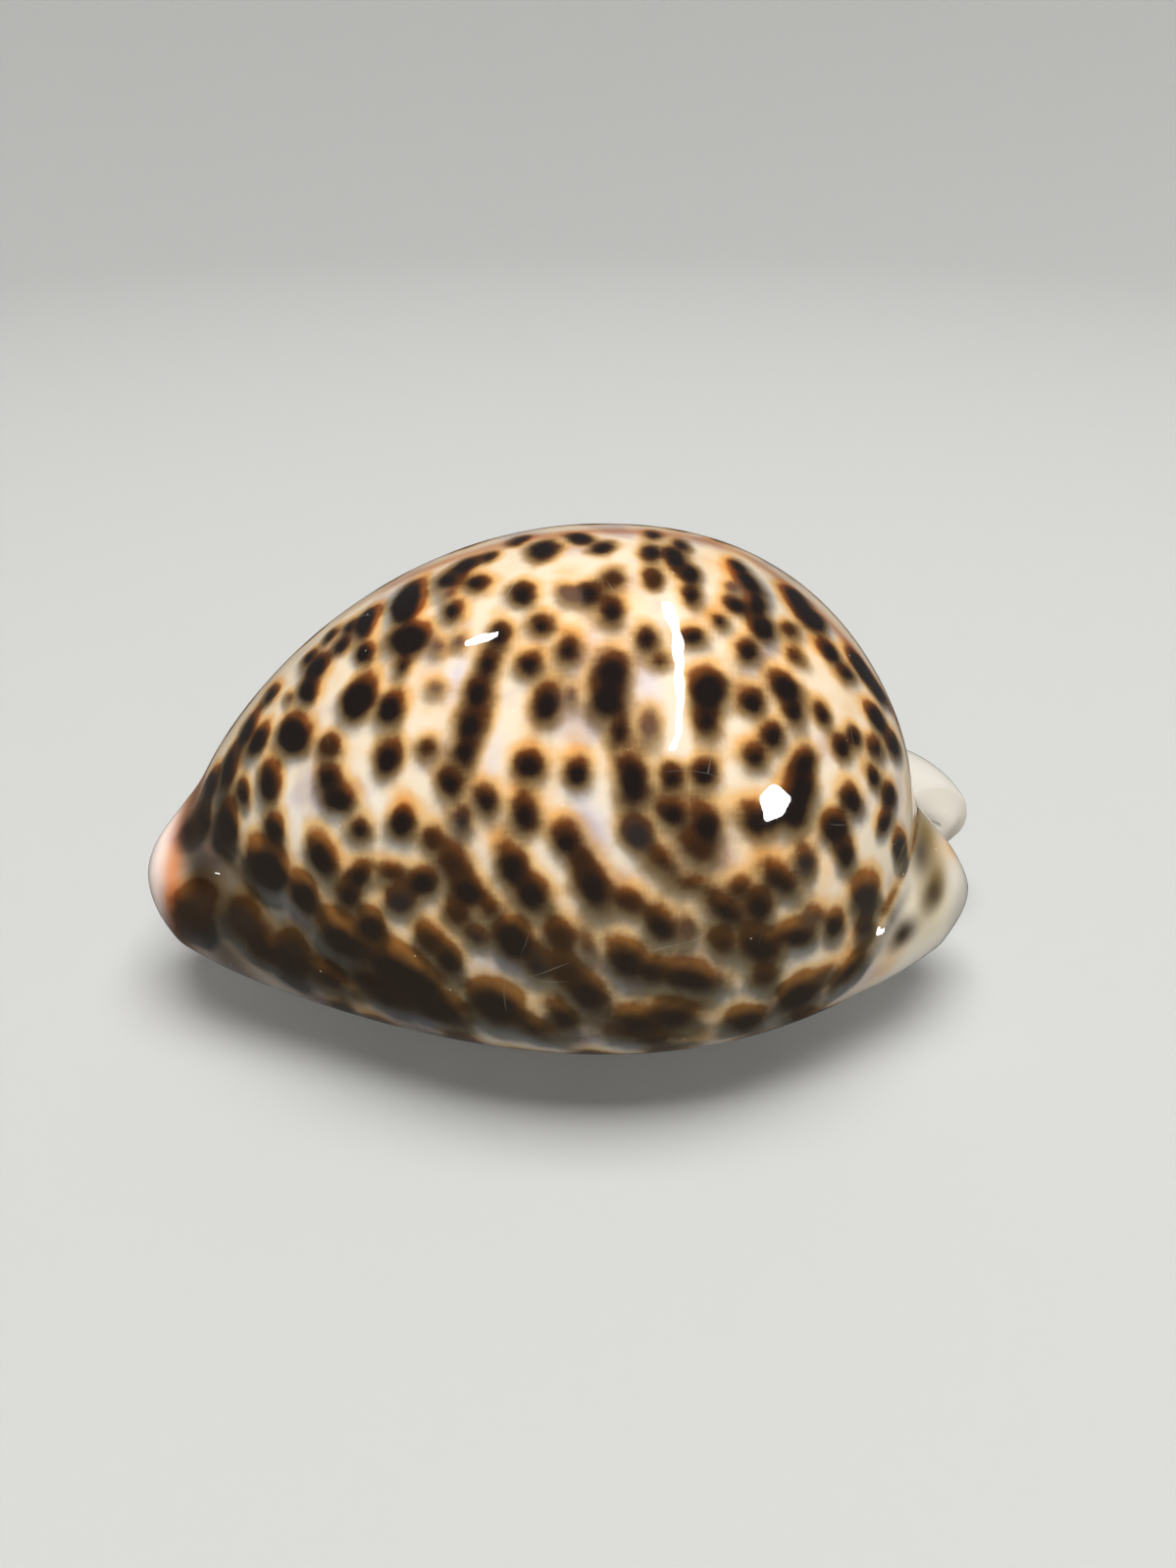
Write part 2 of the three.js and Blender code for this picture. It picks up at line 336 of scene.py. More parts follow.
outside_index = np.arange(outside[..., 0].size).reshape(outside.shape[:2])
inner_rows, inner_columns = inside.shape[0] - 2, inside.shape[1] - 2
inside_index = outside_index[:, ::INSIDE_STEP].copy()
inner_count = np.arange(inner_rows * inner_columns).reshape(inner_rows, -1)
inside_index[1:-1, 1:-1] = outside_index.size + inner_count
points = np.vstack([outside.reshape(-1, 3), inside[1:-1, 1:-1].reshape(-1, 3)])

outside_quads = quads(outside_index)
inside_quads = quads(inside_index[1:-1])[:, ::-1]
front_sewn = sew(outside_index[0], inside_index[1])
back_sewn = sew(outside_index[-1], inside_index[-2])[:, ::-1]
print("quads:", len(outside_quads) + len(inside_quads), "sewn triangles:", len(front_sewn) + len(back_sewn))

# %% [markdown]
# ## Soft rims
# At the end rims the wall's two faces meet in a curve that is round along the length but pinched across it.
# On the shell the enamel flows over these rims. A smooth brush would round them by hand. Here the same is
# done by rule: near a rim, every point is drawn towards the mean of its neighbours, again and again.

# %% Rims drawn smooth
RIM_ZONE = (1.5, 4.5)
RIM_ROUNDS = 40
RIM_PULL = 0.5


def edge_pairs(*face_groups):
    """Both directions of every edge: each corner of a face with the next corner round that face."""
    pairs = np.vstack([np.stack([f, np.roll(f, -1, axis=1)], axis=-1).reshape(-1, 2) for f in face_groups])
    return np.vstack([pairs, pairs[:, ::-1]])


def relaxed(place, pairs, pull, rounds):
    """In each round every point moves by its pull, from 0 to 1, towards the mean of its neighbours."""
    count = np.bincount(pairs[:, 0], minlength=len(place))[:, None]
    for _ in range(rounds):
        sums = [np.bincount(pairs[:, 0], place[pairs[:, 1], axis], len(place)) for axis in range(3)]
        place = place + pull[:, None] * (np.stack(sums, axis=1) / count - place)
    return place


from_rims = distance_from_rims(grid_x, grid_phi)
from_rims = np.concatenate([from_rims.ravel(), from_rims[:, ::INSIDE_STEP][1:-1, 1:-1].ravel()])
rim_pull = RIM_PULL * (1.0 - smooth_between(from_rims, RIM_ZONE))
pairs = edge_pairs(outside_quads, inside_quads, front_sewn, back_sewn)
drawn = relaxed(points, pairs, rim_pull, RIM_ROUNDS)
print("rims drawn in by up to", round(float(np.linalg.norm(drawn - points, axis=1).max()), 2), "mm")
points = drawn
outside = points[: outside_index.size].reshape(outside.shape)
outside_normals = grid_normals(outside)

# %% [markdown]
# ## The camera
# The photograph was taken close, from about 33 degrees above the table, with a wide lens. The camera is
# set first because the spots on the near side are placed by where they are seen: a pixel gives a line of
# sight, and the surface point nearest to that line is the place of the spot on the shell.

# %% Camera and lines of sight
IMAGE_WIDTH = 1199
IMAGE_HEIGHT = 1599
FOCAL_PIXELS = 1200.0
SENSOR_MM = 36.0
CAMERA_PLACE = np.array([1.99, -103.41, 85.87])
CAMERA_DOWN = np.radians(33.0)
NEAREST_DRAWN_MM = 5.0

camera = bpy.data.objects.new("camera", bpy.data.cameras.new("camera"))
camera.data.sensor_width = SENSOR_MM
camera.data.lens = FOCAL_PIXELS / IMAGE_HEIGHT * SENSOR_MM
camera.data.clip_start = NEAREST_DRAWN_MM * MM
camera.location = CAMERA_PLACE * MM
camera.rotation_euler = (np.pi / 2 - CAMERA_DOWN, 0.0, 0.0)
bpy.context.collection.objects.link(camera)
bpy.context.scene.camera = camera

SIGHT_FORWARD = np.array([0.0, np.cos(CAMERA_DOWN), -np.sin(CAMERA_DOWN)])
SIGHT_UP = np.array([0.0, np.sin(CAMERA_DOWN), np.cos(CAMERA_DOWN)])


def to_pixels(place):
    """Pinhole view: image middle plus focal length times sideways (or downward) share of the depth."""
    v = place - CAMERA_PLACE
    depth = v @ SIGHT_FORWARD
    px = IMAGE_WIDTH / 2 + FOCAL_PIXELS * v[..., 0] / depth
    py = IMAGE_HEIGHT / 2 - FOCAL_PIXELS * (v @ SIGHT_UP) / depth
    return np.stack([px, py], axis=-1)


print("lens in mm:", round(camera.data.lens, 2), "origin seen at:", np.round(to_pixels(np.zeros(3)), 1))

# %% Which points the camera sees
PIXEL_REACH = 3.0
PIXEL_SLACK = 1.5
FACING_LEAST = 0.03


def look(place, normals):
    """Cosine between each normal and the line to the camera, the points that face it, and their pixels."""
    to_camera = CAMERA_PLACE - place
    cosine = np.einsum("ij,ij->i", normals, to_camera) / np.linalg.norm(to_camera, axis=1)
    facing_points = np.flatnonzero(cosine > FACING_LEAST)
    return cosine, facing_points, to_pixels(place[facing_points])


def nearest_seen(pixel):
    """Index of the front-most surface point among those whose pictures lie within reach of the pixel."""
    apart = np.linalg.norm(seen_pixels - np.array(pixel, dtype=float), axis=1)
    close = seen[apart < max(apart.min() * PIXEL_SLACK, PIXEL_REACH)]
    return close[np.argmin((skin[close] - CAMERA_PLACE) @ SIGHT_FORWARD)]


skin = outside.reshape(-1, 3)
skin_normals = outside_normals.reshape(-1, 3)
facing, seen, seen_pixels = look(skin, skin_normals)
print("points that face the camera:", len(seen))

# %% [markdown]
# ## Folds at the two ends
# Where the margin wraps over the body whorl, the enamel lies in soft folds: a thin raised line along the
# margin, a crease at the front and a small bead at its top. They are too fine for the driving sizes. They
# could be sculpted, but a rule is easier to change: a fold is a low ridge along a line of points, a bead is
# a swelling about one point, and the surface is pushed along its normals by a bell curve of the distance.

# %% Folds and swellings
FOLD_FADE = (0.0, 5.0)
# Each fold: the pixels that it runs through, its half width in mm and its height in mm.
FOLDS = [
    ([(929, 880), (918, 915), (903, 948), (870, 1000), (820, 1038), (760, 1052), (700, 1061)], 0.6, 0.3),
    ([(203, 850), (240, 900), (280, 950), (330, 985), (380, 1010)], 0.9, -0.5),
]
# Each swelling: its pixel, its radius in mm and its height in mm.
SWELLINGS = [
    ((213, 863), 1.3, 0.5),
]


def distance_to_line(place, line):
    """Shortest distance from each point to any leg of a line: the foot's share along the leg is clipped."""
    shortest = np.full(len(place), np.inf)
    for start, leg in zip(line[:-1], np.diff(line, axis=0)):
        share = np.clip((place - start) @ leg / (leg @ leg), 0.0, 1.0)
        foot = start + share[:, None] * leg
        shortest = np.minimum(shortest, np.linalg.norm(place - foot, axis=1))
    return shortest


push = np.zeros(len(skin))
for pixels, half_width, height in FOLDS:
    line = np.array([skin[nearest_seen(pixel)] for pixel in pixels])
    to_ends = np.linalg.norm(skin[:, None] - line[[0, -1]], axis=2).min(axis=1)
    fade = smooth_between(to_ends, FOLD_FADE)
    push += height * fade * np.exp(-((distance_to_line(skin, line) / half_width) ** 2))
for pixel, radius, height in SWELLINGS:
    away = np.linalg.norm(skin - skin[nearest_seen(pixel)], axis=1)
    push += height * np.exp(-((away / radius) ** 2))
outside = (skin + skin_normals * push[:, None]).reshape(outside.shape)
outside_normals = grid_normals(outside)
skin = outside.reshape(-1, 3)
skin_normals = outside_normals.reshape(-1, 3)
facing, seen, seen_pixels = look(skin, skin_normals)
print("folds push the surface by", round(float(push.min()), 2), "to", round(float(push.max()), 2), "mm")

# %% [markdown]
# ## The mesh
# The finished points and faces become one mesh object. Every edge has to belong to exactly two faces, so
# the open edges are counted, and the volume shows that the faces point outwards.

# %% Mesh and object
mesh = bpy.data.meshes.new("shell_surface")
faces = [*outside_quads.tolist(), *inside_quads.tolist(), *front_sewn.tolist(), *back_sewn.tolist()]
points[: len(skin)] = skin
mesh.from_pydata((points * MM).tolist(), [], faces)
mesh.update()
mesh.polygons.foreach_set("use_smooth", np.ones(len(mesh.polygons), dtype=bool))
shell = bpy.data.objects.new("shell_enamelled", mesh)
bpy.context.collection.objects.link(shell)

edges = np.zeros(len(mesh.loops), dtype=np.int32)
mesh.loops.foreach_get("edge_index", edges)
uses = np.bincount(edges, minlength=len(mesh.edges))
corners = points[np.vstack([outside_quads, inside_quads])]
wedges = np.cross(corners[:, 1], corners[:, 2]) + np.cross(corners[:, 2], corners[:, 3])
volume = np.einsum("ij,ij->i", corners[:, 0], wedges).sum() / 6
print("triangles:", sum(len(f) - 2 for f in faces), "open edges:", int((uses != 2).sum()))
print("volume in cm3:", round(float(volume) / 1000, 1))

# %% [markdown]
# ## The spots that can be seen
# A tiger cowrie's spots are pigment laid down between layers of clear enamel: small and purple-black on
# the back, larger, longer and greener on the flanks, and run together into dark bands near the margin.
# A Voronoi texture would give spots of the right kind, but not this shell's own. So each spot was
# picked as (across, down, half length, half width, turn), in the photograph's pixels and degrees;
# a turn of 0 lies level, 90 stands upright and 45 falls to the right.

# %% Spots picked one by one
BLACK_SPOTS = [
    # upper left flank
    (322, 678, 15, 8, 125), (312, 702, 14, 9, 105), (346, 658, 11, 6, 130), (335, 647, 10, 4, 130),
    (372, 632, 18, 8, 120), (356, 637, 9, 5, 130), (368, 666, 11, 8, 110), (362, 711, 25, 16, 118),
    (298, 750, 20, 17, 90), (262, 753, 18, 8, 115), (250, 743, 22, 6, 113), (273, 709, 10, 5, 120),
    (230, 782, 26, 7, 105), (212, 800, 18, 6, 105), (247, 809, 13, 6, 80), (272, 800, 22, 10, 90),
    (279, 846, 18, 10, 75), (333, 795, 15, 12, 90), (344, 815, 19, 14, 35), (365, 848, 12, 11, 80),
    (398, 723, 18, 13, 105), (397, 775, 18, 12, 100), (315, 668, 9, 4, 130),
    # crown, left and middle
    (414, 612, 25, 13, 118), (416, 650, 22, 17, 160), (411, 679, 13, 8, 105), (457, 589, 13, 8, 150),
    (476, 575, 14, 6, 150), (497, 567, 9, 4, 155), (487, 593, 10, 7, 165), (462, 619, 11, 9, 100),
    (531, 608, 12, 11, 0), (552, 560, 16, 10, 165), (592, 547, 14, 5, 5), (612, 558, 12, 6, 170),
    (530, 549, 10, 4, 160), (549, 638, 11, 10, 0), (578, 663, 12, 10, 90), (541, 678, 13, 12, 130),
    (509, 646, 14, 10, 100), (497, 676, 13, 10, 110), (488, 708, 17, 11, 105), (479, 740, 20, 14, 100),
    (474, 765, 18, 12, 95), (601, 607, 11, 10, 0), (625, 626, 13, 11, 90), (657, 648, 11, 9, 90),
    (622, 688, 22, 17, 90), (618, 714, 24, 19, 90), (630, 746, 14, 9, 90), (556, 720, 18, 13, 105),
    # crown, right
    (665, 545, 7, 4, 10), (697, 555, 9, 5, 25), (664, 562, 9, 7, 20), (686, 567, 14, 8, 55),
    (702, 583, 14, 9, 45), (706, 608, 11, 8, 75), (707, 650, 12, 9, 10), (733, 635, 10, 7, 40),
    (752, 615, 13, 7, 40), (773, 615, 15, 9, 70), (778, 640, 16, 11, 60), (765, 592, 20, 7, 45),
    (755, 578, 12, 5, 40), (762, 663, 12, 11, 50), (848, 664, 15, 6, 50), (815, 612, 20, 7, 48),
    (828, 628, 20, 8, 40), (866, 687, 10, 6, 55), (880, 680, 24, 7, 55), (897, 703, 18, 7, 55),
    (803, 702, 20, 11, 50), (812, 725, 16, 9, 75), (839, 730, 12, 6, 65), (895, 731, 16, 7, 60),
    (873, 751, 9, 5, 60), (895, 763, 11, 7, 75), (913, 757, 14, 6, 70), (860, 763, 12, 7, 70),
    (721, 702, 20, 17, 80), (722, 732, 14, 10, 80), (767, 718, 14, 11, 50), (790, 748, 14, 11, 80),
    # lower left
    (205, 835, 20, 7, 95), (230, 842, 22, 10, 85), (326, 875, 25, 13, 62), (366, 895, 12, 12, 0),
    (354, 915, 14, 11, 60), (375, 946, 20, 14, 60), (409, 838, 17, 15, 90), (270, 885, 30, 18, 50),
    (308, 915, 24, 14, 60), (245, 940, 22, 14, 45), (297, 982, 24, 16, 50), (350, 960, 40, 16, 35),
    (400, 990, 40, 18, 30), (390, 1015, 30, 10, 30), (265, 968, 26, 9, 38), (335, 1000, 28, 8, 28),
    # lower middle
    (459, 801, 14, 11, 80), (540, 780, 15, 13, 0), (587, 787, 15, 14, 90), (495, 819, 16, 13, 80),
    (532, 829, 17, 12, 85), (578, 858, 16, 13, 60), (604, 904, 26, 16, 65), (643, 795, 30, 17, 80),
    (521, 884, 24, 15, 60), (541, 913, 24, 17, 45), (476, 910, 20, 15, 45), (429, 900, 15, 13, 0),
    (520, 962, 26, 19, 50), (456, 980, 20, 13, 50), (594, 1013, 26, 17, 45), (575, 1037, 20, 13, 40),
    (640, 982, 24, 18, 40), (420, 1003, 36, 18, 30), (447, 1028, 34, 13, 25), (505, 1026, 34, 18, 30),
    (545, 1050, 28, 8, 20), (650, 1045, 28, 12, 10), (660, 1062, 40, 6, 5),
    # lower right
    (684, 793, 12, 10, 80), (720, 788, 12, 11, 90), (769, 775, 13, 11, 30), (820, 780, 15, 11, 90),
    (812, 822, 24, 17, 100), (770, 836, 14, 11, 30), (687, 832, 18, 14, 45), (722, 848, 20, 15, 80),
    (893, 791, 12, 6, 70), (871, 818, 16, 10, 65), (909, 812, 13, 6, 80), (903, 836, 12, 6, 110),
    (854, 845, 16, 13, 100), (864, 872, 16, 11, 80), (798, 902, 20, 13, 45), (853, 944, 15, 11, 100),
    (774, 926, 16, 14, 60), (740, 930, 24, 14, 30), (671, 944, 20, 14, 40), (812, 955, 22, 13, 170),
    (778, 970, 24, 16, 20), (708, 1002, 32, 15, 10), (663, 990, 16, 12, 20), (690, 1038, 28, 14, 5),
    (760, 1041, 24, 10, 170), (815, 1018, 28, 14, 150), (905, 940, 34, 6, 118), (870, 990, 30, 6, 135),
    (922, 952, 14, 8, 125), (786, 832, 26, 12, 5), (818, 800, 20, 14, 80),
]
BROWN_SPOTS = [
    (334, 766, 12, 10, 90), (624, 589, 9, 8, 0), (433, 765, 9, 8, 90), (666, 591, 9, 8, 60),
    (811, 668, 11, 6, 50), (805, 640, 8, 6, 50), (676, 673, 7, 5, 0), (195, 930, 24, 22, 60),
    (398, 890, 12, 8, 0), (588, 878, 14, 10, 70), (438, 858, 14, 10, 60), (463, 884, 22, 15, 60),
    (466, 932, 14, 11, 60), (500, 930, 14, 11, 45), (571, 956, 18, 13, 40), (436, 960, 18, 12, 45),
    (575, 990, 20, 14, 40), (640, 919, 20, 11, 25), (712, 868, 22, 14, 40), (676, 878, 22, 12, 40),
    (752, 907, 16, 13, 0), (712, 905, 22, 8, 10), (738, 962, 16, 13, 40), (780, 996, 14, 14, 60),
    (952, 905, 14, 7, 105),
]
SLATE_SPOTS = [
    (405, 919, 14, 13, 0), (470, 838, 14, 11, 80), (650, 852, 18, 14, 60), (484, 957, 14, 10, 45),
    (545, 985, 18, 12, 45), (921, 866, 17, 7, 85), (822, 880, 16, 11, 90), (885, 917, 22, 15, 100),
    (882, 948, 16, 9, 110),
]
FAINT_SPOTS = [
    (291, 713, 7, 4, 100), (456, 607, 9, 8, 90), (446, 662, 10, 9, 90), (467, 653, 8, 6, 90),
    (582, 710, 10, 9, 90), (664, 745, 16, 10, 90), (749, 600, 8, 5, 30), (941, 865, 22, 8, 90),
    (578, 605, 13, 9, 20), (440, 700, 9, 8, 0), (600, 968, 14, 10, 60), (841, 993, 14, 7, 150),
    (832, 937, 12, 9, 0), (703, 950, 16, 10, 90),
]
picked = np.array(BLACK_SPOTS + BROWN_SPOTS + SLATE_SPOTS + FAINT_SPOTS, dtype=float)
print("spots picked by eye:", len(picked))

# %% [markdown]
# ## From pixels to patches of shell
# Seen at a slant, a round spot looks flat, so a spot's size in pixels has to be undone by the slant. For
# a small patch the view is a linear map from the tangent plane to the image. Its inverse carries the
# picked ellipse's two half axes onto the shell. A limit on the slant keeps a spot that lies near the
# outline from growing too long.

# %% Ellipses on the surface
STEEPEST_SLANT = 0.3
LONGEST_HALF_AXIS = 7.5
PROBE_STEP = 0.01


def tangent_pair(normal):
    """Two unit directions in the tangent plane: level along X as far as possible, and across it."""
    along = np.array([1.0, 0.0, 0.0]) - normal * normal[0]
    along /= np.linalg.norm(along)
    return along, np.cross(normal, along)


def patch_axes(spot):
    """Centre, two half axes and normal of the patch whose picture is the picked ellipse."""
    index = nearest_seen(spot[:2])
    centre, normal = skin[index], skin_normals[index]
    sight = (CAMERA_PLACE - centre) / np.linalg.norm(CAMERA_PLACE - centre)
    slant = sight @ normal
    normal = normal + sight * max(STEEPEST_SLANT - slant, 0.0)
    normal /= np.linalg.norm(normal)
    pair = tangent_pair(normal)
    steps = [to_pixels(centre + PROBE_STEP * d) - to_pixels(centre) for d in pair]
    picture = np.stack(steps, axis=1) / PROBE_STEP
    turn = np.radians(spot[4])
    major = spot[2] * np.array([np.cos(turn), np.sin(turn)])
    minor = spot[3] * np.array([-np.sin(turn), np.cos(turn)])
    halves = np.linalg.solve(picture, np.stack([major, minor], axis=1)).T @ np.stack(pair)
    lengths = np.linalg.norm(halves, axis=1, keepdims=True)
    halves *= np.minimum(1.0, LONGEST_HALF_AXIS / lengths)
    return centre, halves[0], halves[1], skin_normals[index]


def patch_radius(patch):
    """Radius of the circle with the patch's area: the root of the length of major x minor."""
    return np.sqrt(np.linalg.norm(np.cross(patch[1], patch[2])))


picked_patches = [patch_axes(spot) for spot in picked]
picked_centres = np.array([patch[0] for patch in picked_patches])
picked_sizes = np.array([patch_radius(patch) for patch in picked_patches])
print("spot radius in mm, mean:", round(float(picked_sizes.mean()), 2))
print("spot radius in mm, largest:", round(float(picked_sizes.max()), 2))

# %% [markdown]
# ## The spots that cannot be seen
# The far flank is finished with spots of the same sizes. Geometry nodes could scatter them, but then they
# couldn't be merged with the picked ones. So they are dropped one by one at random points of the hidden
# dome, from a fixed seed, and a spot stays only where it has the room that its zone asks for: more on the
# back, and less than none near the margin, where the spots of a cowrie run together.

# %% Spots on the far side
SCATTER_SEED = 11
SCATTER_TRIES = 9000
CROWN_ANGLE = 0.5
MARGIN_ANGLE = 1.75
LOWEST_SPOT_ANGLE = 1.9
# Each pair is the value on the crown and the value at the margin.
SCATTER_RADIUS = (1.35, 3.0)
SCATTER_ROOM = (1.45, 0.98)
SCATTER_STRETCH = (1.1, 1.45)
RADIUS_SPREAD = 0.22
STRETCH_SPREAD = 0.1
# Mean and spread of the turn away from downhill, in radians.
SCATTER_TURN = (0.6, 0.35)
# The margin takes over from the dome while it rises past it by these heights in mm.
ON_MARGIN = (-0.5, 1.5)

rng = np.random.default_rng(SCATTER_SEED)
skin_x = grid_x.ravel()
skin_phi = grid_phi.ravel()
dome_radius, margin_radius = whorl_radii(skin_x, skin_phi)
on_margin = smooth_between(margin_radius - dome_radius, ON_MARGIN)
spotted = (np.abs(skin_phi) < LOWEST_SPOT_ANGLE) & (on_margin < 0.5)
hidden = np.flatnonzero(spotted & (facing < FACING_LEAST))
tries = rng.choice(hidden, SCATTER_TRIES)
scattered_patches = []
centres, sizes = picked_centres, picked_sizes
for index in tries:
    down = smooth_between(abs(skin_phi[index]), (CROWN_ANGLE, MARGIN_ANGLE))
    radius = lerp(*SCATTER_RADIUS, down) * np.exp(rng.normal(0.0, RADIUS_SPREAD))
    room = lerp(*SCATTER_ROOM, down)
    turn = rng.normal(*SCATTER_TURN)
    stretch = lerp(*SCATTER_STRETCH, down) * np.exp(rng.normal(0.0, STRETCH_SPREAD))
    away = np.linalg.norm(centres - skin[index], axis=1)
    if np.any(away < (sizes + radius) * room):
        continue
    along, across = tangent_pair(skin_normals[index])
    downhill = across * (-1.0 if across[2] > 0.0 else 1.0)
    major = np.cos(turn) * downhill + np.sin(turn) * along
    minor = np.cross(skin_normals[index], major)
    halves = (major * radius * stretch, minor * radius / stretch)
    scattered_patches.append((skin[index], *halves, skin_normals[index]))
    centres = np.vstack([centres, skin[index]])
    sizes = np.append(sizes, radius)
print("spots on the far side:", len(scattered_patches))

# %% [markdown]
# ## Fields instead of pictures
# The markings could be painted on an image, but that needs a flat map of the shell and blurs close up. Here
# each spot becomes a signed distance in millimetres, positive inside. All spots are merged by a soft
# maximum, so that neighbours run together as wet pigment does. The warm halo is the same field shifted
# towards the crown and the cool shadow is shifted towards the margin, as the layers of enamel show them.
# The fields are stored on the points, and the material turns them into colour with crisp edges.


# %% Inks of the spots
def hex_colour(code):
    """An sRGB hex value as linear red, green and blue."""
    srgb = np.array([int(code[i : i + 2], 16) for i in (0, 2, 4)]) / 255.0
    return np.where(srgb <= 0.04045, srgb / 12.92, ((srgb + 0.055) / 1.055) ** 2.4)


# Each ink: its colour, and how much of the ground it covers.
SPOT_INKS = {
    "black": (hex_colour("181210"), 1.0),
    "brown": (hex_colour("2A1A0E"), 0.9),
    "slate": (hex_colour("1F2123"), 0.93),
    "faint": (hex_colour("5A5048"), 0.5),
    "far": (hex_colour("16100D"), 1.0),
}
spots_by_ink = {
    "black": BLACK_SPOTS,
    "brown": BROWN_SPOTS,
    "slate": SLATE_SPOTS,
    "faint": FAINT_SPOTS,
    "far": scattered_patches,
}
inks = [ink for ink, spots in spots_by_ink.items() for _ in spots]
print("spots by ink:", {ink: len(spots) for ink, spots in spots_by_ink.items()})

# %% Fields of the spots
# Lengths in mm: how softly spots merge, and how deep a patch reaches along its normal.
MERGE = 0.28
PATCH_DEPTH = 3.0
# Shifts towards the crown as shares of the spot's radius, and growths in mm.
CORE_SHIFT = -0.12
WARM_SHIFT = 0.34
COOL_SHIFT = -0.45
COOL_GROWTH = 0.3
SPOT_GROWTH = {"crown": 0.08, "skirt": 0.06}
SKIRT_SHIFT = 1.4
LARGEST_SHIFTED = {"crown": 1.5, "skirt": 3.2}
CROWN_HEIGHTS = (14.0, 34.0)
STEEPEST_CLIMB = 0.35
POWER_LIMITS = (-60.0, 40.0)
LEAST_WEIGHT = 1e-12


def patch_distance(patch, offset=0.0):
    """rho: each point's distance from the moved centre, counted in half axes of the patch."""
    centre, major, minor, normal = patch
    inverse = np.linalg.inv(np.stack([major, minor, normal * PATCH_DEPTH], axis=1))
    return np.linalg.norm((skin - centre - offset) @ inverse.T, axis=1)


def patch_field(patch, offset, growth):
    """(1 - rho) times the shorter half axis, plus growth."""
    shortest = min(np.linalg.norm(patch[1]), np.linalg.norm(patch[2]))
    return (1.0 - patch_distance(patch, offset)) * shortest + growth


def uphill(normal):
    """Unit direction in the tangent plane that climbs towards the crown."""
    climb = np.array([0.0, 0.0, 1.0]) - normal * normal[2]
    return climb / max(np.linalg.norm(climb), STEEPEST_CLIMB)


weights = np.full(len(skin), LEAST_WEIGHT)
warm_sum = np.full(len(skin), LEAST_WEIGHT)
cool_sum = np.full(len(skin), LEAST_WEIGHT)
ink_sum = np.zeros((len(skin), 4))
for patch, ink in zip(picked_patches + scattered_patches, inks):
    colour, strength = SPOT_INKS[ink]
    crownness = smooth_between(patch[0][2], CROWN_HEIGHTS)
    growth = lerp(SPOT_GROWTH["skirt"], SPOT_GROWTH["crown"], crownness)
    largest = lerp(LARGEST_SHIFTED["skirt"], LARGEST_SHIFTED["crown"], crownness)
    climb = uphill(patch[3]) * min(patch_radius(patch), largest)
    core = patch_field(patch, climb * CORE_SHIFT, growth)
    weight = np.exp(np.clip(core / MERGE, *POWER_LIMITS))
    weights += weight
    ink_sum += weight[:, None] * np.array([*colour, strength])
    apart = lerp(SKIRT_SHIFT, 1.0, crownness)
    warm = patch_field(patch, climb * WARM_SHIFT * apart, growth)
    cool = patch_field(patch, climb * COOL_SHIFT * apart, growth + COOL_GROWTH)
    warm_sum += np.exp(np.clip(warm / MERGE, *POWER_LIMITS)) * strength
    cool_sum += np.exp(np.clip(cool / MERGE, *POWER_LIMITS)) * strength
spot_field = MERGE * np.log(weights)
warm_field = MERGE * np.log(warm_sum)
cool_field = MERGE * np.log(cool_sum)
ink_field = ink_sum / weights[:, None]
print("share of the outside under spots:", round(float((spot_field > 0).mean()), 2))

# %% [markdown]
# ## The ground colour
# Between the spots the enamel goes from peach on the back through cream on the flanks to porcelain white
# on the base, the teeth and the lobes. The anterior tip is a pinkish white with an orange blush behind it,
# and an orange line along the back marks where the two edges of the animal's mantle met. Colour ramps on
# the height could give such zones, but not the line or the lobes, so each zone is a share of 0 to 1 on the
# points, worked out from the angle and the station, and the zones are laid over each other in order.

# %% Ground colours
GROUND = {
    "crown": hex_colour("D8C6AC"),
    "flank": hex_colour("DECFB8"),
    "skirt": hex_colour("B8ADA0"),
    "porcelain": hex_colour("E6E0D6"),
    "lobe": hex_colour("DCD6CA"),
    # The far lobe is the same white as the near lobe, made greyer as painted shade.
    "far_lobe": hex_colour("C4BFB5"),
    "inside": hex_colour("C1BAAE"),
    "cream": hex_colour("D8CBAA"),
    "tip": hex_colour("F4E2D6"),
    "blush": hex_colour("D9834A"),
    "gold": hex_colour("E2B474"),
    "lavender": hex_colour("C4BECB"),
    "olive": hex_colour("7A6436"),
    "tan": hex_colour("CDA878"),
    # Dark brown of the merged spots at the front, also used as painted shade along the low front rim.
    "dusk": hex_colour("3C352D"),
    "umber": hex_colour("352E29"),
    "rose": hex_colour("C9A08C"),
    # Greyish mauve of the low front rim, darkened there as painted shade.
    "mauve": hex_colour("4E443E"),
    "mantle": hex_colour("A8662F"),
}
print("ground colours:", ", ".join(GROUND))

# %% The line along the back
# The line runs through these pixels of the outline and lies a little farther back than the points seen there.
MANTLE_LINE = [(480, 566), (560, 548), (640, 543), (700, 548), (760, 568), (820, 612), (890, 692)]
MANTLE_HALF_WIDTH = 1.5
MANTLE_FARTHER = 1.3
MANTLE_STATIONS = ((-24.0, -12.0), (33.0, 37.0))
MANTLE_LOWEST = 1.2

steep = np.abs(skin_phi)
mantle = np.array([skin[nearest_seen(pixel)] for pixel in MANTLE_LINE])
mantle = mantle[np.argsort(mantle[:, 0])]
line_y = np.interp(skin[:, 0], mantle[:, 0], mantle[:, 1]) + MANTLE_FARTHER
off_line = np.abs(skin[:, 1] - line_y) / MANTLE_HALF_WIDTH
starts, stops = (smooth_between(skin_x, span) for span in MANTLE_STATIONS)
on_line = np.exp(-(off_line**2)) * starts * (1.0 - stops) * (steep < MANTLE_LOWEST)
print("mantle line at y =", np.round(mantle[:, 1], 1), "mm")

# %% Zones of the ground
# Angles from the crown between which one zone passes into the next.
TO_FLANK = (0.3, 1.0)
TO_SKIRT = (1.3, 1.75)
TO_BASE = (2.0, 2.4)
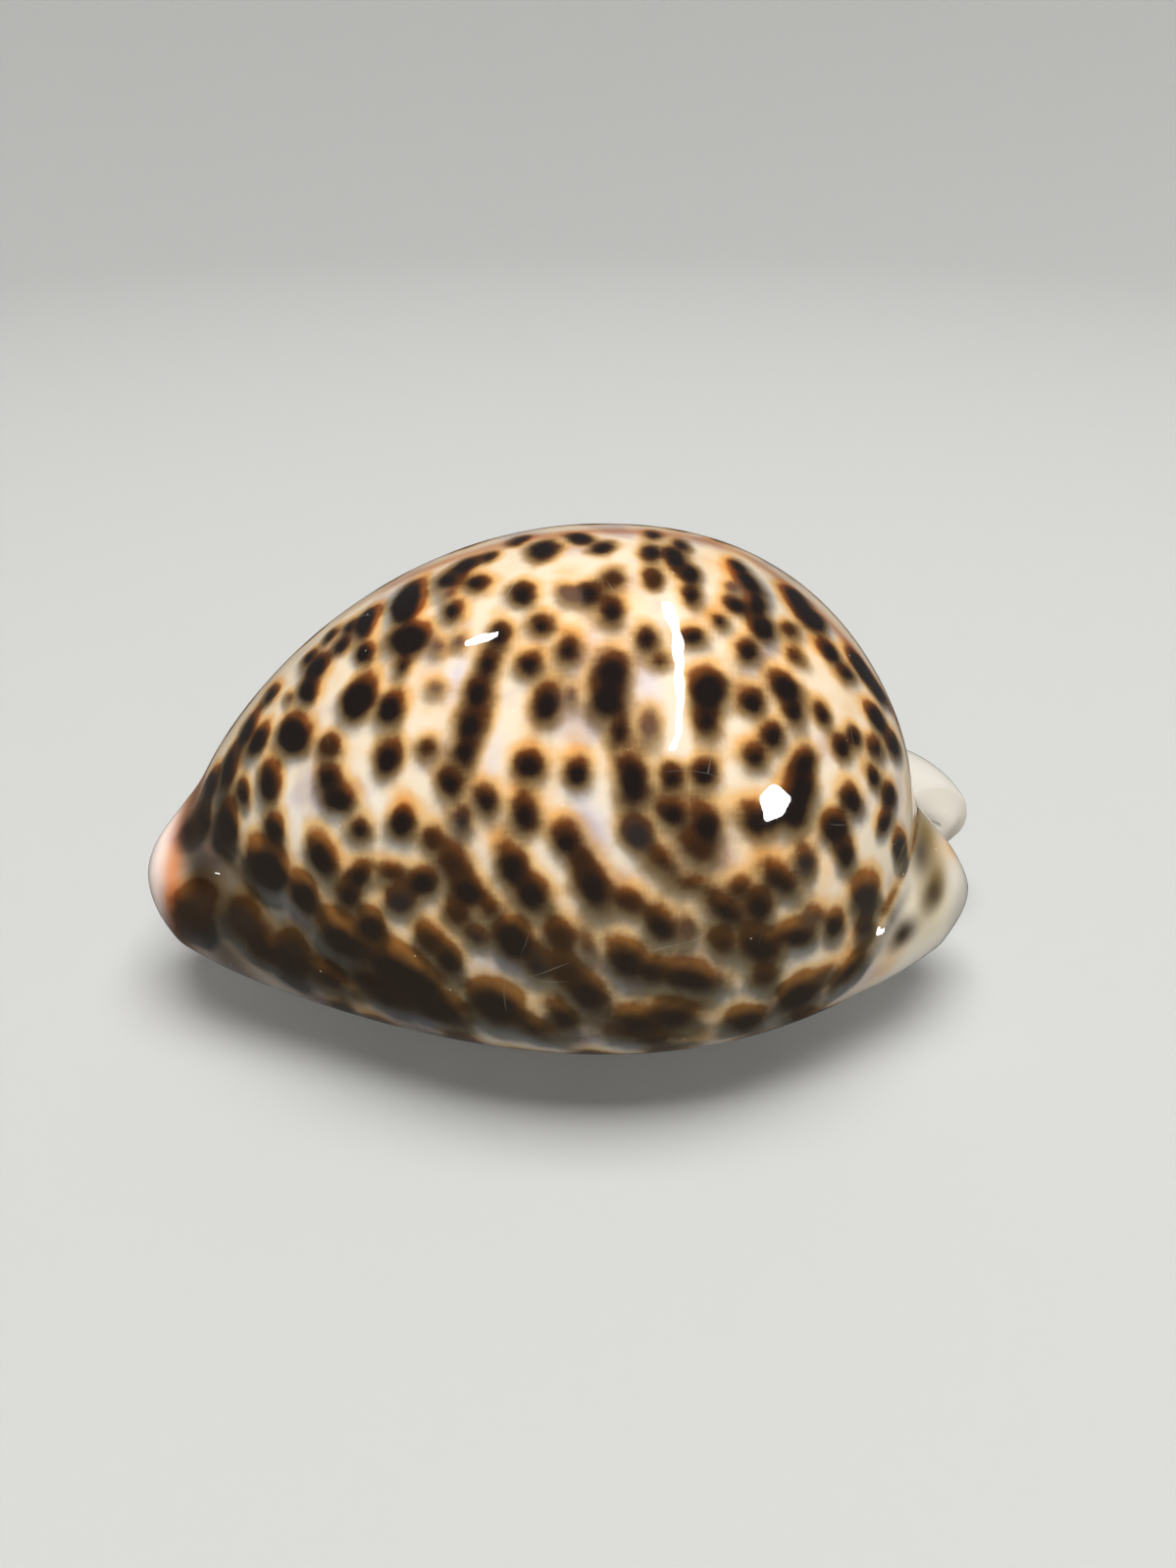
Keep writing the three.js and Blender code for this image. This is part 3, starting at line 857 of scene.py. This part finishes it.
# Stations along the length in mm, and how strongly the narrow zones cover.
LOBE_STATIONS = (26.0, 34.0)
TIP_STATIONS = (37.0, 39.5)
MANTLE_STRENGTH = 0.75
BLUSH_STATION = -37.3
BLUSH_HALF_WIDTH = 1.5
BLUSH_STRENGTH = 0.85


def wash(colour, over, share):
    """The colour laid over the ground by a share from 0 to 1 at each point."""
    return lerp(over, colour, share[:, None])


posterior_lobe = on_margin * smooth_between(skin_x, LOBE_STATIONS)
blush = np.exp(-(((skin_x - BLUSH_STATION) / BLUSH_HALF_WIDTH) ** 2))
base_share = smooth_between(steep, TO_BASE)
zones = [
    ("flank", smooth_between(steep, TO_FLANK)),
    ("skirt", smooth_between(steep, TO_SKIRT)),
    ("mantle", MANTLE_STRENGTH * on_line),
    ("lobe", posterior_lobe),
    # Painted shade: the far posterior lobe is greyed, though it is the same white as the near one.
    ("far_lobe", posterior_lobe * (skin_phi > 0.0)),
    ("tip", smooth_between(-skin_x, TIP_STATIONS)),
    ("blush", BLUSH_STRENGTH * blush),
    ("porcelain", base_share),
]
ground = np.broadcast_to(GROUND["crown"], skin.shape)
for colour, share in zones:
    ground = wash(GROUND[colour], ground, share)
print("mean share of each zone:", {colour: round(float(share.mean()), 3) for colour, share in zones})

# %% [markdown]
# ## Washes
# No shell keeps strictly to its zones. Soft washes of gold, lavender and white lie between the spots, dark
# ones where the spots run together at the front, and olive stains on the near lobe at the back. Along the
# low front rim the dark and mauve washes are also painted shade, where the underside gets little light.
# Noise would put them anywhere, so they were placed one by one in the same way as the spots.

# %% Washes placed one by one
# Each wash: across, down, half length and half width in pixels, turn in degrees, colour and strength.
WASHES = [
    (776, 864, 34, 28, 0, "gold", 0.6), (860, 970, 34, 16, 120, "gold", 0.5),
    (700, 920, 26, 18, 0, "gold", 0.4), (842, 890, 24, 18, 90, "gold", 0.5),
    (820, 665, 26, 22, 45, "gold", 0.5), (740, 570, 24, 18, 20, "gold", 0.5),
    (640, 610, 20, 18, 0, "gold", 0.4), (590, 645, 24, 18, 90, "gold", 0.6),
    (505, 852, 18, 14, 60, "gold", 0.6), (525, 803, 16, 14, 90, "gold", 0.6),
    (568, 832, 18, 14, 60, "gold", 0.5), (540, 748, 22, 12, 90, "gold", 0.7),
    (585, 762, 18, 12, 90, "gold", 0.6), (488, 790, 14, 12, 90, "gold", 0.5),
    (405, 805, 18, 12, 60, "gold", 0.6), (398, 885, 14, 10, 60, "gold", 0.6),
    (470, 960, 22, 10, 45, "gold", 0.4), (640, 900, 24, 10, 30, "gold", 0.5),
    (465, 690, 28, 9, 105, "lavender", 0.6), (440, 660, 20, 9, 100, "lavender", 0.6),
    (610, 660, 30, 12, 70, "lavender", 0.5), (660, 690, 30, 14, 70, "lavender", 0.6),
    (580, 690, 26, 10, 100, "lavender", 0.5), (600, 830, 36, 14, 50, "lavender", 0.5),
    (640, 700, 20, 30, 0, "lavender", 0.4), (500, 775, 30, 8, 100, "lavender", 0.4),
    (545, 880, 40, 9, 55, "porcelain", 0.6), (430, 930, 40, 10, 45, "porcelain", 0.4),
    (500, 990, 50, 9, 35, "porcelain", 0.4), (300, 830, 40, 9, 70, "porcelain", 0.5),
    (385, 825, 40, 8, 60, "porcelain", 0.5), (690, 970, 40, 10, 30, "porcelain", 0.4),
    (620, 945, 40, 9, 40, "porcelain", 0.5), (855, 905, 30, 10, 100, "porcelain", 0.4),
    (215, 870, 46, 20, 85, "umber", 0.9), (235, 925, 44, 26, 45, "umber", 0.9),
    # The dark washes along the low front rim below are partly merged spots and partly painted shade on the
    # underside edge.
    (290, 960, 52, 20, 40, "dusk", 0.85), (370, 1000, 60, 16, 28, "dusk", 0.8),
    (450, 1030, 60, 12, 20, "dusk", 0.7), (225, 815, 44, 12, 105, "dusk", 0.6),
    (800, 600, 50, 30, 45, "dusk", 0.3), (690, 565, 30, 16, 30, "dusk", 0.25),
    # The mauve washes along the lower front edge are partly the rim's own colour and partly painted shade.
    (213, 862, 10, 6, 50, "rose", 0.9), (235, 985, 60, 12, 38, "mauve", 0.9),
    (330, 1030, 70, 10, 28, "mauve", 0.9), (430, 1058, 70, 8, 18, "mauve", 0.8),
    (205, 890, 50, 20, 80, "umber", 1.0), (192, 848, 28, 10, 88, "dusk", 0.95),
    # More dark washes on the low front rim, partly painted shade there.
    (198, 812, 32, 9, 105, "dusk", 0.8), (225, 968, 44, 9, 40, "dusk", 0.6),
    (285, 1000, 44, 7, 32, "dusk", 0.5), (225, 860, 44, 20, 70, "umber", 0.8),
    (205, 940, 30, 22, 50, "dusk", 0.9), (250, 900, 50, 14, 55, "dusk", 0.7),
    (300, 945, 50, 12, 42, "dusk", 0.7), (180, 962, 30, 9, 48, "dusk", 0.95),
    (950, 930, 44, 30, 110, "cream", 0.7), (945, 850, 50, 20, 80, "olive", 1.0),
    (955, 900, 34, 14, 100, "olive", 0.95), (938, 868, 18, 9, 90, "dusk", 0.9),
    (954, 912, 14, 8, 110, "dusk", 0.7), (922, 953, 20, 10, 125, "dusk", 0.9),
    (905, 985, 30, 9, 130, "tan", 0.7), (972, 863, 14, 9, 60, "tan", 0.9),
]


def soft_patch(patch):
    """exp(-rho^2), with rho the distance from the centre in half axes of the patch."""
    return np.exp(-(patch_distance(patch) ** 2))


for *ellipse, colour, strength in WASHES:
    share = soft_patch(patch_axes(np.array(ellipse, dtype=float)))
    ground = wash(GROUND[colour], ground, strength * share)
print("washes:", len(WASHES), "mean ground colour, linear:", np.round(ground.mean(axis=0), 2))

# %% Where spots and halos end
# The field in mm where there is no spot, and how far the lobe at the back is free of halos.
FAR_OUTSIDE = -3.0
LOBE_BARENESS = 0.7
# Angles from the crown between which spots and halos fade into the bare base.
SPOTS_END = (1.9, 2.2)
HALOS_END = (1.8, 2.1)
# Heights in mm between which the ink turns from black to the olive brown of the low flank.
LOW_HEIGHTS = (12.0, 36.0)
LOW_INK = hex_colour("31281F")
LOW_INK_SHARE = 0.6

spot_field = lerp(spot_field, FAR_OUTSIDE, smooth_between(steep, SPOTS_END))
bare = np.maximum(smooth_between(steep, HALOS_END), LOBE_BARENESS * posterior_lobe)
warm_field = lerp(warm_field, FAR_OUTSIDE, bare)
cool_field = lerp(cool_field, FAR_OUTSIDE, bare)
lowness = 1.0 - smooth_between(skin[:, 2], LOW_HEIGHTS)
ink_field[:, :3] = wash(LOW_INK, ink_field[:, :3], LOW_INK_SHARE * lowness)
print("share of the outside without halos:", round(float((bare > 0.5).mean()), 2))

# %% Store the fields on the points
# Share of the mottling that is taken off the white base and the lobe.
CALM_SHARE = 0.85

inside_count = len(points) - len(skin)


def store(name, kind, values, filler):
    """One attribute on the mesh points: the outside's values, then the filler for the inside."""
    attribute = mesh.attributes.new(name, kind, "POINT")
    key = "color" if kind == "FLOAT_COLOR" else "value"
    padding = np.broadcast_to(filler, (inside_count, *np.shape(filler)))
    attribute.data.foreach_set(key, np.concatenate([values, padding]).astype(np.float32).ravel())


ground_and_lowness = np.hstack([ground, lowness[:, None]])
store("ground", "FLOAT_COLOR", ground_and_lowness, np.array([*GROUND["inside"], 1.0]))
store("ink", "FLOAT_COLOR", ink_field, np.zeros(4))
for name, field in (("spot", spot_field), ("warm", warm_field), ("cool", cool_field)):
    store(name, "FLOAT", np.maximum(field, FAR_OUTSIDE), FAR_OUTSIDE)
store("mottled", "FLOAT", 1.0 - CALM_SHARE * np.maximum(base_share, posterior_lobe), 0.0)
print("attributes:", [a.name for a in mesh.attributes])

# %% [markdown]
# ## Enamel
# The outside of a cowrie is aragonite enamel, laid down and polished by the living animal's mantle. The
# eye gets a hard, wet-looking gloss with a slightly wavy surface, colours that seem to lie at different
# depths, and pigment edges that fray. Fields give the layout, and noise at real grain sizes gives the fray.

# %% Enamel material
FRAY_MM = 1.7
DRIFT_MM = 4.5
MOTTLE_MM = 7.0
MOTTLE_MIDDLE = 0.49

enamel = bpy.data.materials.new("cowrie_enamel")
enamel.use_nodes = True
tree = enamel.node_tree
tree.nodes.clear()


def add(kind, inputs=None, **settings):
    """Adds a node, sets its settings, and fills or links its sockets by name or number."""
    node = tree.nodes.new(kind)
    for name, value in settings.items():
        setattr(node, name, value)
    for socket, value in (inputs or {}).items():
        if isinstance(value, bpy.types.NodeSocket):
            tree.links.new(value, node.inputs[socket])
        else:
            node.inputs[socket].default_value = value
    return node


def per_mm(size):
    """Texture scale for a pattern whose grain has this size in millimetres."""
    return 1.0 / (size * MM)


def rgba(code):
    """A linear colour with full alpha from an sRGB hex value."""
    return (*hex_colour(code), 1.0)


place = add("ShaderNodeTexCoord").outputs["Object"]
fray = add("ShaderNodeTexNoise", {"Vector": place, "Scale": per_mm(FRAY_MM), "Detail": 3.0})
drift = add("ShaderNodeTexNoise", {"Vector": place, "Scale": per_mm(DRIFT_MM), "Detail": 1.0})
mottle = add("ShaderNodeTexNoise", {"Vector": place, "Scale": per_mm(MOTTLE_MM), "Detail": 3.0})
mottled = add("ShaderNodeAttribute", attribute_name="mottled").outputs["Fac"]
mottle = add("ShaderNodeMix", {0: mottled, 2: MOTTLE_MIDDLE, 3: mottle.outputs["Fac"]}).outputs[0]
print("grain scales per metre:", [round(per_mm(size)) for size in (FRAY_MM, DRIFT_MM, MOTTLE_MM)])

# %% Fields roughened by the fray
FRAY_REACH = {"spot": 0.6, "warm": 0.9, "cool": 0.9}
DRIFT_WEIGHT = 1.5
NOISE_MIDDLE = 0.5 * (1.0 + DRIFT_WEIGHT)

both = {0: drift.outputs["Fac"], 1: DRIFT_WEIGHT, 2: fray.outputs["Fac"]}
both = add("ShaderNodeMath", both, operation="MULTIPLY_ADD").outputs[0]
fray_push = add("ShaderNodeMath", {0: both, 1: NOISE_MIDDLE}, operation="SUBTRACT").outputs[0]
frayed = {}
for name, reach in FRAY_REACH.items():
    field = add("ShaderNodeAttribute", attribute_name=name).outputs["Fac"]
    pushed = {0: fray_push, 1: reach, 2: field}
    frayed[name] = add("ShaderNodeMath", pushed, operation="MULTIPLY_ADD").outputs[0]
print("fields with frayed edges:", list(frayed))

# %% [markdown]
# ## Layers of colour
# The animal lays its colours down one over another, and each film tints what shines through from below.
# Mixing flat colours would hide the ground, so the mottling, the slate shadow, the golden glow and the rust
# edge multiply it, as thin stains do. Only the dark core of a spot covers what is under it.

# %% Layers of colour, from the ground up
LOW_SOFTENING = -0.35
CORE_EDGE = (-0.8, 0.85)
# Each stain's colour on the crown and its colour low on the flank.
STAIN_COLOURS = {
    "rust": ("A8764C", "B38F5A"),
    "slate": ("A8B0BC", "828E9A"),
    "glow": ("F9D08E", "F3DDB4"),
}
WARM_MOTTLE = rgba("F8DDB4")
COOL_MOTTLE = rgba("DAD6EA")

ground_node = add("ShaderNodeAttribute", attribute_name="ground")
ink_node = add("ShaderNodeAttribute", attribute_name="ink")
low_share = ground_node.outputs["Alpha"]
tints = {}
for name, (high, low) in STAIN_COLOURS.items():
    ends = {0: low_share, 6: rgba(high), 7: rgba(low)}
    tints[name] = add("ShaderNodeMix", ends, data_type="RGBA").outputs[2]
# Each stain: the field that it follows, where it starts, where it is full, its strength and its tint.
stains = [
    (mottle, 0.5, 0.75, 0.8, WARM_MOTTLE),
    (mottle, 0.48, 0.3, 0.8, COOL_MOTTLE),
    (frayed["cool"], -0.8, 0.5, 0.9, tints["slate"]),
    (frayed["warm"], -1.3, -0.1, 0.95, tints["glow"]),
    (frayed["warm"], -0.3, 0.45, 0.95, tints["rust"]),
]
colour = ground_node.outputs["Color"]
for field, start, full, strength, tint in stains:
    span = {"Value": field, "From Min": start, "From Max": full, "To Max": strength}
    share = add("ShaderNodeMapRange", span, interpolation_type="SMOOTHSTEP").outputs[0]
    stain = {0: share, 6: colour, 7: tint}
    colour = add("ShaderNodeMix", stain, data_type="RGBA", blend_type="MULTIPLY").outputs[2]
softness = {0: low_share, 1: LOW_SOFTENING, 2: 1.0}
softness = add("ShaderNodeMath", softness, operation="MULTIPLY_ADD").outputs[0]
core = add("ShaderNodeMath", {0: frayed["spot"], 1: softness}, operation="MULTIPLY").outputs[0]
core = {"Value": core, "From Min": CORE_EDGE[0], "From Max": CORE_EDGE[1]}
core = add("ShaderNodeMapRange", core, interpolation_type="SMOOTHSTEP").outputs[0]
core = add("ShaderNodeMath", {0: core, 1: ink_node.outputs["Alpha"]}, operation="MULTIPLY").outputs[0]
inked = {0: core, 6: colour, 7: ink_node.outputs["Color"]}
colour = add("ShaderNodeMix", inked, data_type="RGBA").outputs[2]
print("colour layers:", len(stains) + 2, "nodes so far:", len(tree.nodes))

# %% [markdown]
# ## Wear and gloss
# A shell that is handled picks up hair scratches and dust. The edges of large Voronoi cells serve as
# scratches, and a slow noise breaks them into short pieces. Small round dots at the points of fine cells
# serve as dust. Separate slivers of mesh would cost far more faces than they show. The gloss is that of a
# polished mineral: an IOR near 1.5, a very low roughness with a fine speckle, and slow waves in the surface.

# %% Hair scratches and dust
# Real hair scratches are about 0.03 mm wide and dust is finer still, too fine for the render, so both
# are drawn about 0.1 mm wide.
SCRATCH_CELL_MM = 17.0
SCRATCH_WIDTH_MM = 0.1
DUST_CELL_MM = 3.2
DUST_RADIUS_MM = 0.13
SCRATCH_BEND = (0.02, 0.02, 0.02)
SCRATCH_BREAKS = (0.6, 0.72)
SCRATCH_STRENGTH = 0.1
DUST_STRENGTH = 0.6
WEAR_COLOUR = rgba("E9E4DA")

bent = add("ShaderNodeTexNoise", {"Vector": place, "Scale": per_mm(SCRATCH_CELL_MM), "Detail": 1.0})
bent = {0: bent.outputs["Color"], 1: SCRATCH_BEND, 2: place}
bent = add("ShaderNodeVectorMath", bent, operation="MULTIPLY_ADD").outputs[0]
cells = {"Vector": bent, "Scale": per_mm(SCRATCH_CELL_MM)}
cells = add("ShaderNodeTexVoronoi", cells, feature="DISTANCE_TO_EDGE").outputs["Distance"]
scratch = {"Value": cells, "From Min": SCRATCH_WIDTH_MM / SCRATCH_CELL_MM, "From Max": 0.0}
scratch = add("ShaderNodeMapRange", scratch).outputs[0]
breaks = {"Value": drift.outputs["Fac"], "From Min": SCRATCH_BREAKS[0], "From Max": SCRATCH_BREAKS[1]}
breaks = add("ShaderNodeMapRange", {**breaks, "To Max": SCRATCH_STRENGTH}).outputs[0]
scratch = add("ShaderNodeMath", {0: scratch, 1: breaks}, operation="MULTIPLY").outputs[0]
grains = add("ShaderNodeTexVoronoi", {"Vector": place, "Scale": per_mm(DUST_CELL_MM)})
dust = {"Value": grains.outputs["Distance"], "From Min": DUST_RADIUS_MM / DUST_CELL_MM, "From Max": 0.0}
dust = add("ShaderNodeMapRange", {**dust, "To Max": DUST_STRENGTH}).outputs[0]
wear = add("ShaderNodeMath", {0: scratch, 1: dust}, operation="MAXIMUM").outputs[0]
colour = add("ShaderNodeMix", {0: wear, 6: colour, 7: WEAR_COLOUR}, data_type="RGBA").outputs[2]
print("scratch cells:", SCRATCH_CELL_MM, "mm across, dust cells:", DUST_CELL_MM, "mm across")

# %% Gloss and the shader
SPECKLE_MM = 0.35
SPECKLE_SPAN = (0.3, 0.8)
ENAMEL_ROUGHNESS = (0.015, 0.045)
ENAMEL_IOR = 1.5
WAVE_MM = 3.6
WAVE_HEIGHT_MM = 0.25
WAVE_STRENGTH = 0.3

speckle = add("ShaderNodeTexNoise", {"Vector": place, "Scale": per_mm(SPECKLE_MM), "Detail": 2.0})
gloss = {"Value": speckle.outputs["Fac"], "From Min": SPECKLE_SPAN[0], "From Max": SPECKLE_SPAN[1]}
gloss.update({"To Min": ENAMEL_ROUGHNESS[0], "To Max": ENAMEL_ROUGHNESS[1]})
gloss = add("ShaderNodeMapRange", gloss).outputs[0]
wave = add("ShaderNodeTexNoise", {"Vector": place, "Scale": per_mm(WAVE_MM), "Detail": 1.0})
bump = {"Height": wave.outputs["Fac"], "Strength": WAVE_STRENGTH, "Distance": WAVE_HEIGHT_MM * MM}
bump = add("ShaderNodeBump", bump).outputs["Normal"]
surface = {"Base Color": colour, "Roughness": gloss, "IOR": ENAMEL_IOR, "Normal": bump}
shader = add("ShaderNodeBsdfPrincipled", surface)
add("ShaderNodeOutputMaterial", {"Surface": shader.outputs["BSDF"]})
mesh.materials.append(enamel)
print("enamel nodes:", len(tree.nodes))

# %% [markdown]
# ## Floor and light
# The shell lies on plain pale paper that sweeps up all round it, so that no side shows an edge, under soft
# light from above and from the front. Gloss shows its lamps, so a round one, a tube and a small one are
# placed where their mirror images fall on the shell as in the photograph: the line of sight to a pixel is
# mirrored about the surface normal there, and the lamp goes along that line.

# %% Floor
FLAT_RADIUS = 450.0
SWEEP_RADIUS = 500.0
WALL_TOP = 1500.0
SWEEP_STEPS = 24
FLOOR_SIDES = 96
PAPER_COLOUR = rgba("B0B0AE")
PAPER_ROUGHNESS = 0.8
PAPER_SHINE = 0.2

bend = np.linspace(0.0, np.pi / 2, SWEEP_STEPS)
sweep_r = FLAT_RADIUS + SWEEP_RADIUS * np.sin(bend)
sweep_z = SWEEP_RADIUS * (1.0 - np.cos(bend))
profile_r = np.concatenate([[0.0], sweep_r, sweep_r[-1:]])[:, None]
profile_z = np.concatenate([[0.0], sweep_z, [WALL_TOP]])[:, None]
around = np.linspace(0.0, 2 * np.pi, FLOOR_SIDES + 1)
rings = np.broadcast_arrays(profile_r * np.cos(around), profile_r * np.sin(around), profile_z)
floor_points = np.stack(rings, axis=-1)
floor_index = np.arange(floor_points[..., 0].size).reshape(floor_points.shape[:2])
floor_index[:, -1] = floor_index[:, 0]
floor_mesh = bpy.data.meshes.new("floor")
floor_mesh.from_pydata((floor_points.reshape(-1, 3) * MM).tolist(), [], quads(floor_index).tolist())
floor_mesh.polygons.foreach_set("use_smooth", np.ones(len(floor_mesh.polygons), dtype=bool))
floor = bpy.data.objects.new("floor", floor_mesh)
bpy.context.collection.objects.link(floor)
paper = bpy.data.materials.new("matt_paper")
paper.use_nodes = True
paper_shader = paper.node_tree.nodes["Principled BSDF"]
paper_shader.inputs["Base Color"].default_value = PAPER_COLOUR
paper_shader.inputs["Roughness"].default_value = PAPER_ROUGHNESS
paper_shader.inputs["Specular IOR Level"].default_value = PAPER_SHINE
floor_mesh.materials.append(paper)
print("floor points:", len(floor_mesh.vertices), "normal up:", round(floor_mesh.polygons[0].normal.z, 2))


# %% Lamps
def lamp(name, place, target, power, width, height, upright=(0.0, 1.0, 0.0), shape="RECTANGLE"):
    """An area lamp at a place in mm that shines on the target, its height along the upright direction."""
    light = bpy.data.lights.new(name, "AREA")
    light.shape = shape
    light.size, light.size_y = width * MM, height * MM
    light.energy = power
    back = np.array(place) - np.array(target)
    back = back / np.linalg.norm(back)
    side = np.cross(upright, back)
    side /= np.linalg.norm(side)
    turn = Matrix(np.stack([side, np.cross(back, side), back], axis=1).tolist())
    holder = bpy.data.objects.new(name, light)
    holder.location = np.array(place) * MM
    holder.rotation_euler = turn.to_euler()
    bpy.context.collection.objects.link(holder)
    return holder


def mirrored_place(pixel, distance):
    """The place at a distance along the line of sight mirrored at the shell, and the shell point."""
    index = nearest_seen(pixel)
    sight = skin[index] - CAMERA_PLACE
    sight /= np.linalg.norm(sight)
    bounce = sight - 2 * (sight @ skin_normals[index]) * skin_normals[index]
    return skin[index] + bounce * distance, skin[index]


LAMP_DISTANCE = 500.0
ROUND_LAMP_DISTANCE = 300.0
ROUND_LAMP_PIXEL = (788, 818)
TUBE_PIXELS = ((682, 618), (688, 768))
SMALL_LAMP_PIXEL = (492, 648)

softbox = lamp("overhead_softbox", (60, 20, 900), (0, 0, 20), power=12.0, width=700, height=500)
fill_place, fill_target = (-60, -930, 480), (-60, 0, 480)
fill = lamp("front_fill", fill_place, fill_target, power=14.0, width=800, height=600, upright=(0.0, 0.0, 1.0))
for soft in (softbox, fill):
    soft.visible_glossy = False
round_place, round_target = mirrored_place(ROUND_LAMP_PIXEL, ROUND_LAMP_DISTANCE)
round_lamp = lamp("round_lamp", round_place, round_target, power=0.7, width=60, height=60, shape="ELLIPSE")
tube_top, tube_target = mirrored_place(TUBE_PIXELS[0], LAMP_DISTANCE)
tube_bottom, _ = mirrored_place(TUBE_PIXELS[1], LAMP_DISTANCE)
tube_line = tube_top - tube_bottom
tube_length = np.linalg.norm(tube_line)
tube_middle = (tube_top + tube_bottom) / 2
tube_lamp = lamp(
    "tube_lamp", tube_middle, tube_target, power=0.8, width=18, height=tube_length, upright=tube_line
)
small_place, small_target = mirrored_place(SMALL_LAMP_PIXEL, LAMP_DISTANCE)
small_lamp = lamp("small_lamp", small_place, small_target, power=0.5, width=60, height=26)
for glint in (round_lamp, tube_lamp, small_lamp):
    glint.visible_diffuse = False
print("tube length in mm:", round(float(tube_length)))

# %% Room
ROOM_COLOUR = (0.5, 0.51, 0.53, 1.0)
ROOM_STRENGTH = 0.14

floor.visible_glossy = False
world = bpy.data.worlds.new("soft_room")
world.use_nodes = True
background = world.node_tree.nodes["Background"]
background.inputs["Color"].default_value = ROOM_COLOUR
background.inputs["Strength"].default_value = ROOM_STRENGTH
bpy.context.scene.world = world
bpy.context.scene.view_settings.view_transform = "Standard"
print("view transform:", bpy.context.scene.view_settings.view_transform)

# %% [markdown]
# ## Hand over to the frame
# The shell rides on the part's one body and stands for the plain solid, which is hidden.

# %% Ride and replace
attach(shell, "root")
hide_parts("shell")
bpy.context.view_layer.update()
